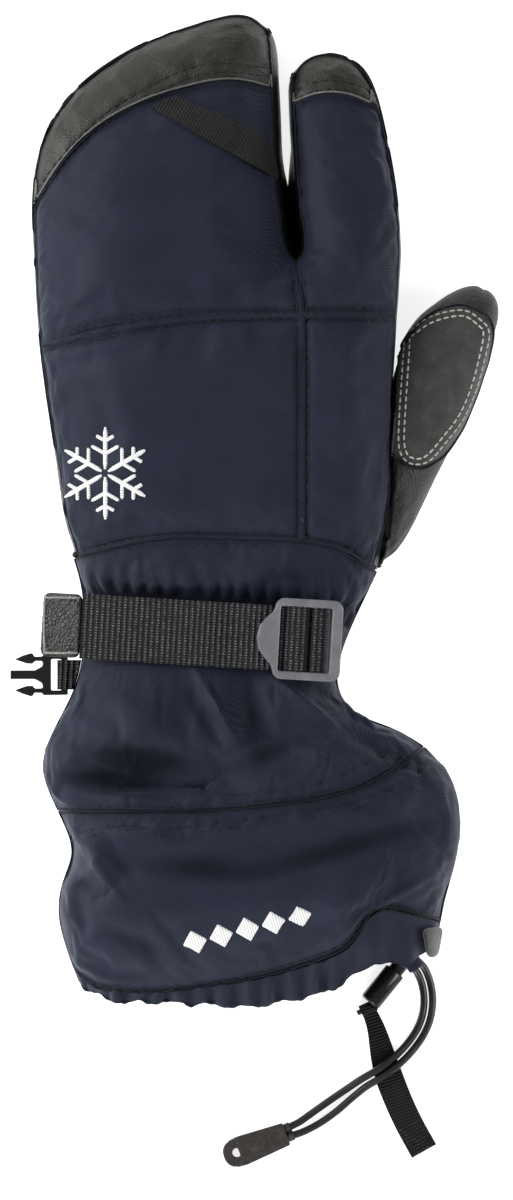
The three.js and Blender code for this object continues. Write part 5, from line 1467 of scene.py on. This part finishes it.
class StrapsOperator(bpy.types.Operator):
    """Makes the wrist strap, its pull tab, the clip's loop and the ribbons"""

    bl_idname = "mitten.straps"
    bl_label = "Straps and ribbons"

    def execute(self, context):
        for node, finish in BANDS.items():
            obj = edit_copy(node, node + "_band", BAND_EDGE)
            subdivide(obj, 2)
            if node == "back_ribbon":
                seat_ribbon(obj)
            shade_by_angle(obj, SHADED_EDGE)
            finish_piece(obj, finish, node)
        heap("ribbon_loop", "pull_ribbon", [across_loop(half=3 * MM, radius=2.1 * MM, sides=20)])
        heap("lock_pin", "plastic", [across_loop(half=4.4 * MM, radius=1 * MM, sides=14)])
        moulded_piece("strap_pull_tab", "strap_pull_tab_leather", "tab_leather", voxel=0.32, rounds=6)
        lobe = edit_copy("cuff_tab", "cuff_tab_leather")
        subdivide(lobe, 3)
        finish_piece(lobe, "binding", "cuff_tab")
        heap("ribbon_ridges", "ridge", ridge_forms())
        return {"FINISHED"}


# Threads: a stitch's length, gap and thickness
PATCH_THREAD = (2.1 * MM, 0.7 * MM, 0.75 * MM)
TAB_THREAD = (1.3 * MM, 0.35 * MM, 0.4 * MM)

# How lines are laid: the step along them and the lift off the skin
SEAM_LAY = (1.2 * MM, 0.08 * MM)
PATCH_LAY = (1.0 * MM, 0.12 * MM)
ZIGZAG_LAY = (0.6 * MM, 0.1 * MM)
BORDER_LAY = (0.8 * MM, 0.1 * MM)
BINDING_LAY = (0.8 * MM, 0.0)
SATIN_LAY = (0.4 * MM, 0.05 * MM)
PATCH_ROWS = (1.2, 3.2)  # how far inside the patch's outline its two rows run, in millimetres


class StitchingOperator(bpy.types.Operator):
    """Sews the seams of the shell"""

    bl_idname = "mitten.stitching"
    bl_label = "Stitching"

    def execute(self, context):
        ground = Ground(made(*SOFT))
        runs = [laid(ground, line, *SEAM_LAY) for line in SEAM_ROWS]
        sew("seam_stitches", runs, "dark_thread", "navy_shell")
        rows = [laid(ground, inset(THUMB_PATCH, away), *PATCH_LAY) for away in PATCH_ROWS]
        sew("thumb_patch_stitches", rows, "cream_thread", "grey_suede", PATCH_THREAD)
        tab = Ground(made("strap_pull_tab_leather", "wrist_strap_band"))
        rows = [laid(tab, TAB_ZIGZAG, *ZIGZAG_LAY), laid(tab, TAB_BORDER, *BORDER_LAY)]
        sew("tab_stitches", rows, "dark_thread", "black_leather", TAB_THREAD)
        return {"FINISHED"}


PIPING_STEP, PIPING_RADIUS, TAB_EDGE_RADIUS = 1.2 * MM, 0.38 * MM, 0.45 * MM
PIPING_REACH = 4 * MM  # how near its line in plan a panel's border has to run
PIPING_SHIFT = Vector((0, -0.15 * MM, 0.3 * MM))
PIPING_ABOVE = 18 * MM
TIP_AROUND = [(dx * MM, dy * MM) for dx in (-2, 2) for dy in (-3, 0)]
TIP_HEIGHTS, TIP_SINK, TIP_RADIUS, WRIST_RADIUS = (2 * MM, 8 * MM), 1 * MM, 0.8 * MM, 1.1 * MM


def border_near(obj, line):
    """The part of a panel's border that runs near a line in plan, a little above the skin."""
    kept = []
    for run in rim_runs(obj):
        near = distance_to_line(np.array([tuple(p) for p, _ in run]), line) < PIPING_REACH
        kept += [p + PIPING_SHIFT for (p, _), close in zip(run, near) if close and p.z > PIPING_ABOVE]
    return sorted(kept, key=lambda p: p.x)


def seam_end_forms():
    """The bindings of seams that stand upright: at the tips and at the wrist."""
    ground = Ground(made(*SOFT))
    forms = []
    for x, y in TIP_SEAMS:
        tops = [ground.under(x * MM + dx, y * MM + dy)[0] for dx, dy in TIP_AROUND]
        top = min(hit.z for hit in tops if hit is not None) - TIP_SINK
        forms.append(tube_form([Vector((x * MM, y * MM, z)) for z in (*TIP_HEIGHTS, top)], TIP_RADIUS))
    for x, y in WRIST_SEAMS:
        forms.append(tube_form([Vector((x, y, z)) * MM for z in WRIST_SEAM_HEIGHTS], WRIST_RADIUS))
    return forms


class PipingOperator(bpy.types.Operator):
    """Lays the piping along the caps and round the pull tab"""

    bl_idname = "mitten.piping"
    bl_label = "Piping"

    def execute(self, context):
        forms = []
        for cap, line in (("mitten_cap_soft", CAP_EDGE), ("index_cap_soft", INDEX_CAP_EDGE)):
            edge = border_near(bpy.data.objects[cap], line)
            forms.append(tube_form(even_points(edge, PIPING_STEP), PIPING_RADIUS))
        heap("cap_piping", "edge", forms)
        heap("seam_ends", "leather", seam_end_forms())
        heap("rolled_seams", "rolled", rolled_edges(made(*SOFT)))
        run = laid(Ground(made("strap_pull_tab_leather")), TAB_BINDING, *BINDING_LAY)
        heap("tab_edging", "tab_edge", [tube_form([p for p, _ in run], TAB_EDGE_RADIUS)])
        return {"FINISHED"}


SNOWFLAKE = {"middle": (-40, -16), "reach": 16.5, "arm": 1.7, "branch": 1.35}
SATIN_SCALE = (0.14, 0.3)
DIAMONDS = {"start": (-8, -183), "count": 5, "step": 9.6, "rise": 14, "long": 8.2, "high": 9.5}


def snowflake_strokes():
    """Six arms, each with two pairs of branches: (from, to, width) in millimetres."""
    cx, cy = SNOWFLAKE["middle"]
    reach = SNOWFLAKE["reach"]
    strokes = []
    for k in range(6):
        turn = math.radians(90 + 60 * k)

        def at(along, aside=0.0, turn=turn):
            return (
                cx + reach * (along * math.cos(turn) - aside * math.sin(turn)),
                cy + reach * (along * math.sin(turn) + aside * math.cos(turn)),
            )

        strokes.append((at(0.08), at(1), SNOWFLAKE["arm"]))
        for root, length in ((0.42, 0.34), (0.7, 0.22)):
            for side in (-1, 1):
                tip = at(root + length * 0.5, side * length * 0.87)
                strokes.append((at(root), tip, SNOWFLAKE["branch"]))
    return strokes


def diamond_strokes():
    """One broad stroke for each diamond of the row: (from, to, width) in millimetres."""
    x0, y0 = DIAMONDS["start"]
    rise = math.radians(DIAMONDS["rise"])
    half = DIAMONDS["long"] / 2
    strokes = []
    for k in range(DIAMONDS["count"]):
        x = x0 + DIAMONDS["step"] * k * math.cos(rise)
        y = y0 + DIAMONDS["step"] * k * math.sin(rise)
        ends = [(x + s * half * math.cos(rise), y + s * half * math.sin(rise)) for s in (-1, 1)]
        strokes.append((*ends, DIAMONDS["high"]))
    return strokes


def rounded(step, count):
    """Share of a stroke's width at a step along it, with round ends."""
    return min(1, 0.35 + 1.6 * math.sin(math.pi * step / count))


def pointed(step, count):
    """The same share for a diamond."""
    return 1 - abs(2 * step / count - 1)


def embroider(name, strokes, share_at, least):
    """Satin strokes on the shell, whose width is nowhere less than this."""
    ground = Ground(made(*SOFT))
    forms = []
    for start, end, width in strokes:
        run = laid(ground, [start, end], *SATIN_LAY)
        widths = [width * MM * share_at(i + 0.5, len(run)) + least for i in range(len(run))]
        forms.append(satin_form(run, widths, sizes().satin_high))
    heap(name, "satin", forms, uv_scale=SATIN_SCALE)


class EmbroideryOperator(bpy.types.Operator):
    """Embroiders a snowflake on the hand and a row of diamonds on the gauntlet"""

    bl_idname = "mitten.embroidery"
    bl_label = "Embroidery"

    def execute(self, context):
        embroider("snowflake_embroidery", snowflake_strokes(), rounded, 0)
        embroider("diamond_embroidery", diamond_strokes(), pointed, 0.2 * MM)
        return {"FINISHED"}


OPERATORS = [
    ("stage", StageOperator),
    ("drawcord", CordOperator),
    ("panels", PanelsOperator),
    ("fittings", FittingsOperator),
    ("straps", StrapsOperator),
    ("stitching", StitchingOperator),
    ("piping", PipingOperator),
    ("embroidery", EmbroideryOperator),
]


class MittenPanel(bpy.types.Panel):
    """Lists the pieces of the mitten in the 3D view's sidebar"""

    bl_idname = "VIEW3D_PT_mitten"
    bl_label = "Winter mitten"
    bl_space_type = "VIEW_3D"
    bl_region_type = "UI"
    bl_category = "Mitten"

    def draw(self, context):
        for group in (context.scene.mitten_sizes, context.scene.mitten_colours):
            box = self.layout.box()
            for key in group.__annotations__:
                box.prop(group, key)
        for name, _ in OPERATORS:
            self.layout.operator("mitten." + name)


CLASSES = [MittenSizes, MittenColours, *(cls for _, cls in OPERATORS), MittenPanel]


def register():
    for cls in CLASSES:
        bpy.utils.register_class(cls)
    bpy.types.Scene.mitten_sizes = bpy.props.PointerProperty(type=MittenSizes)
    bpy.types.Scene.mitten_colours = bpy.props.PointerProperty(type=MittenColours)


def unregister():
    del bpy.types.Scene.mitten_colours
    del bpy.types.Scene.mitten_sizes
    for cls in reversed(CLASSES):
        bpy.utils.unregister_class(cls)


def main():
    register()
    for name, _ in OPERATORS:
        getattr(bpy.ops.mitten, name)()
    bpy.context.view_layer.update()


if __name__ == "__main__":
    main()
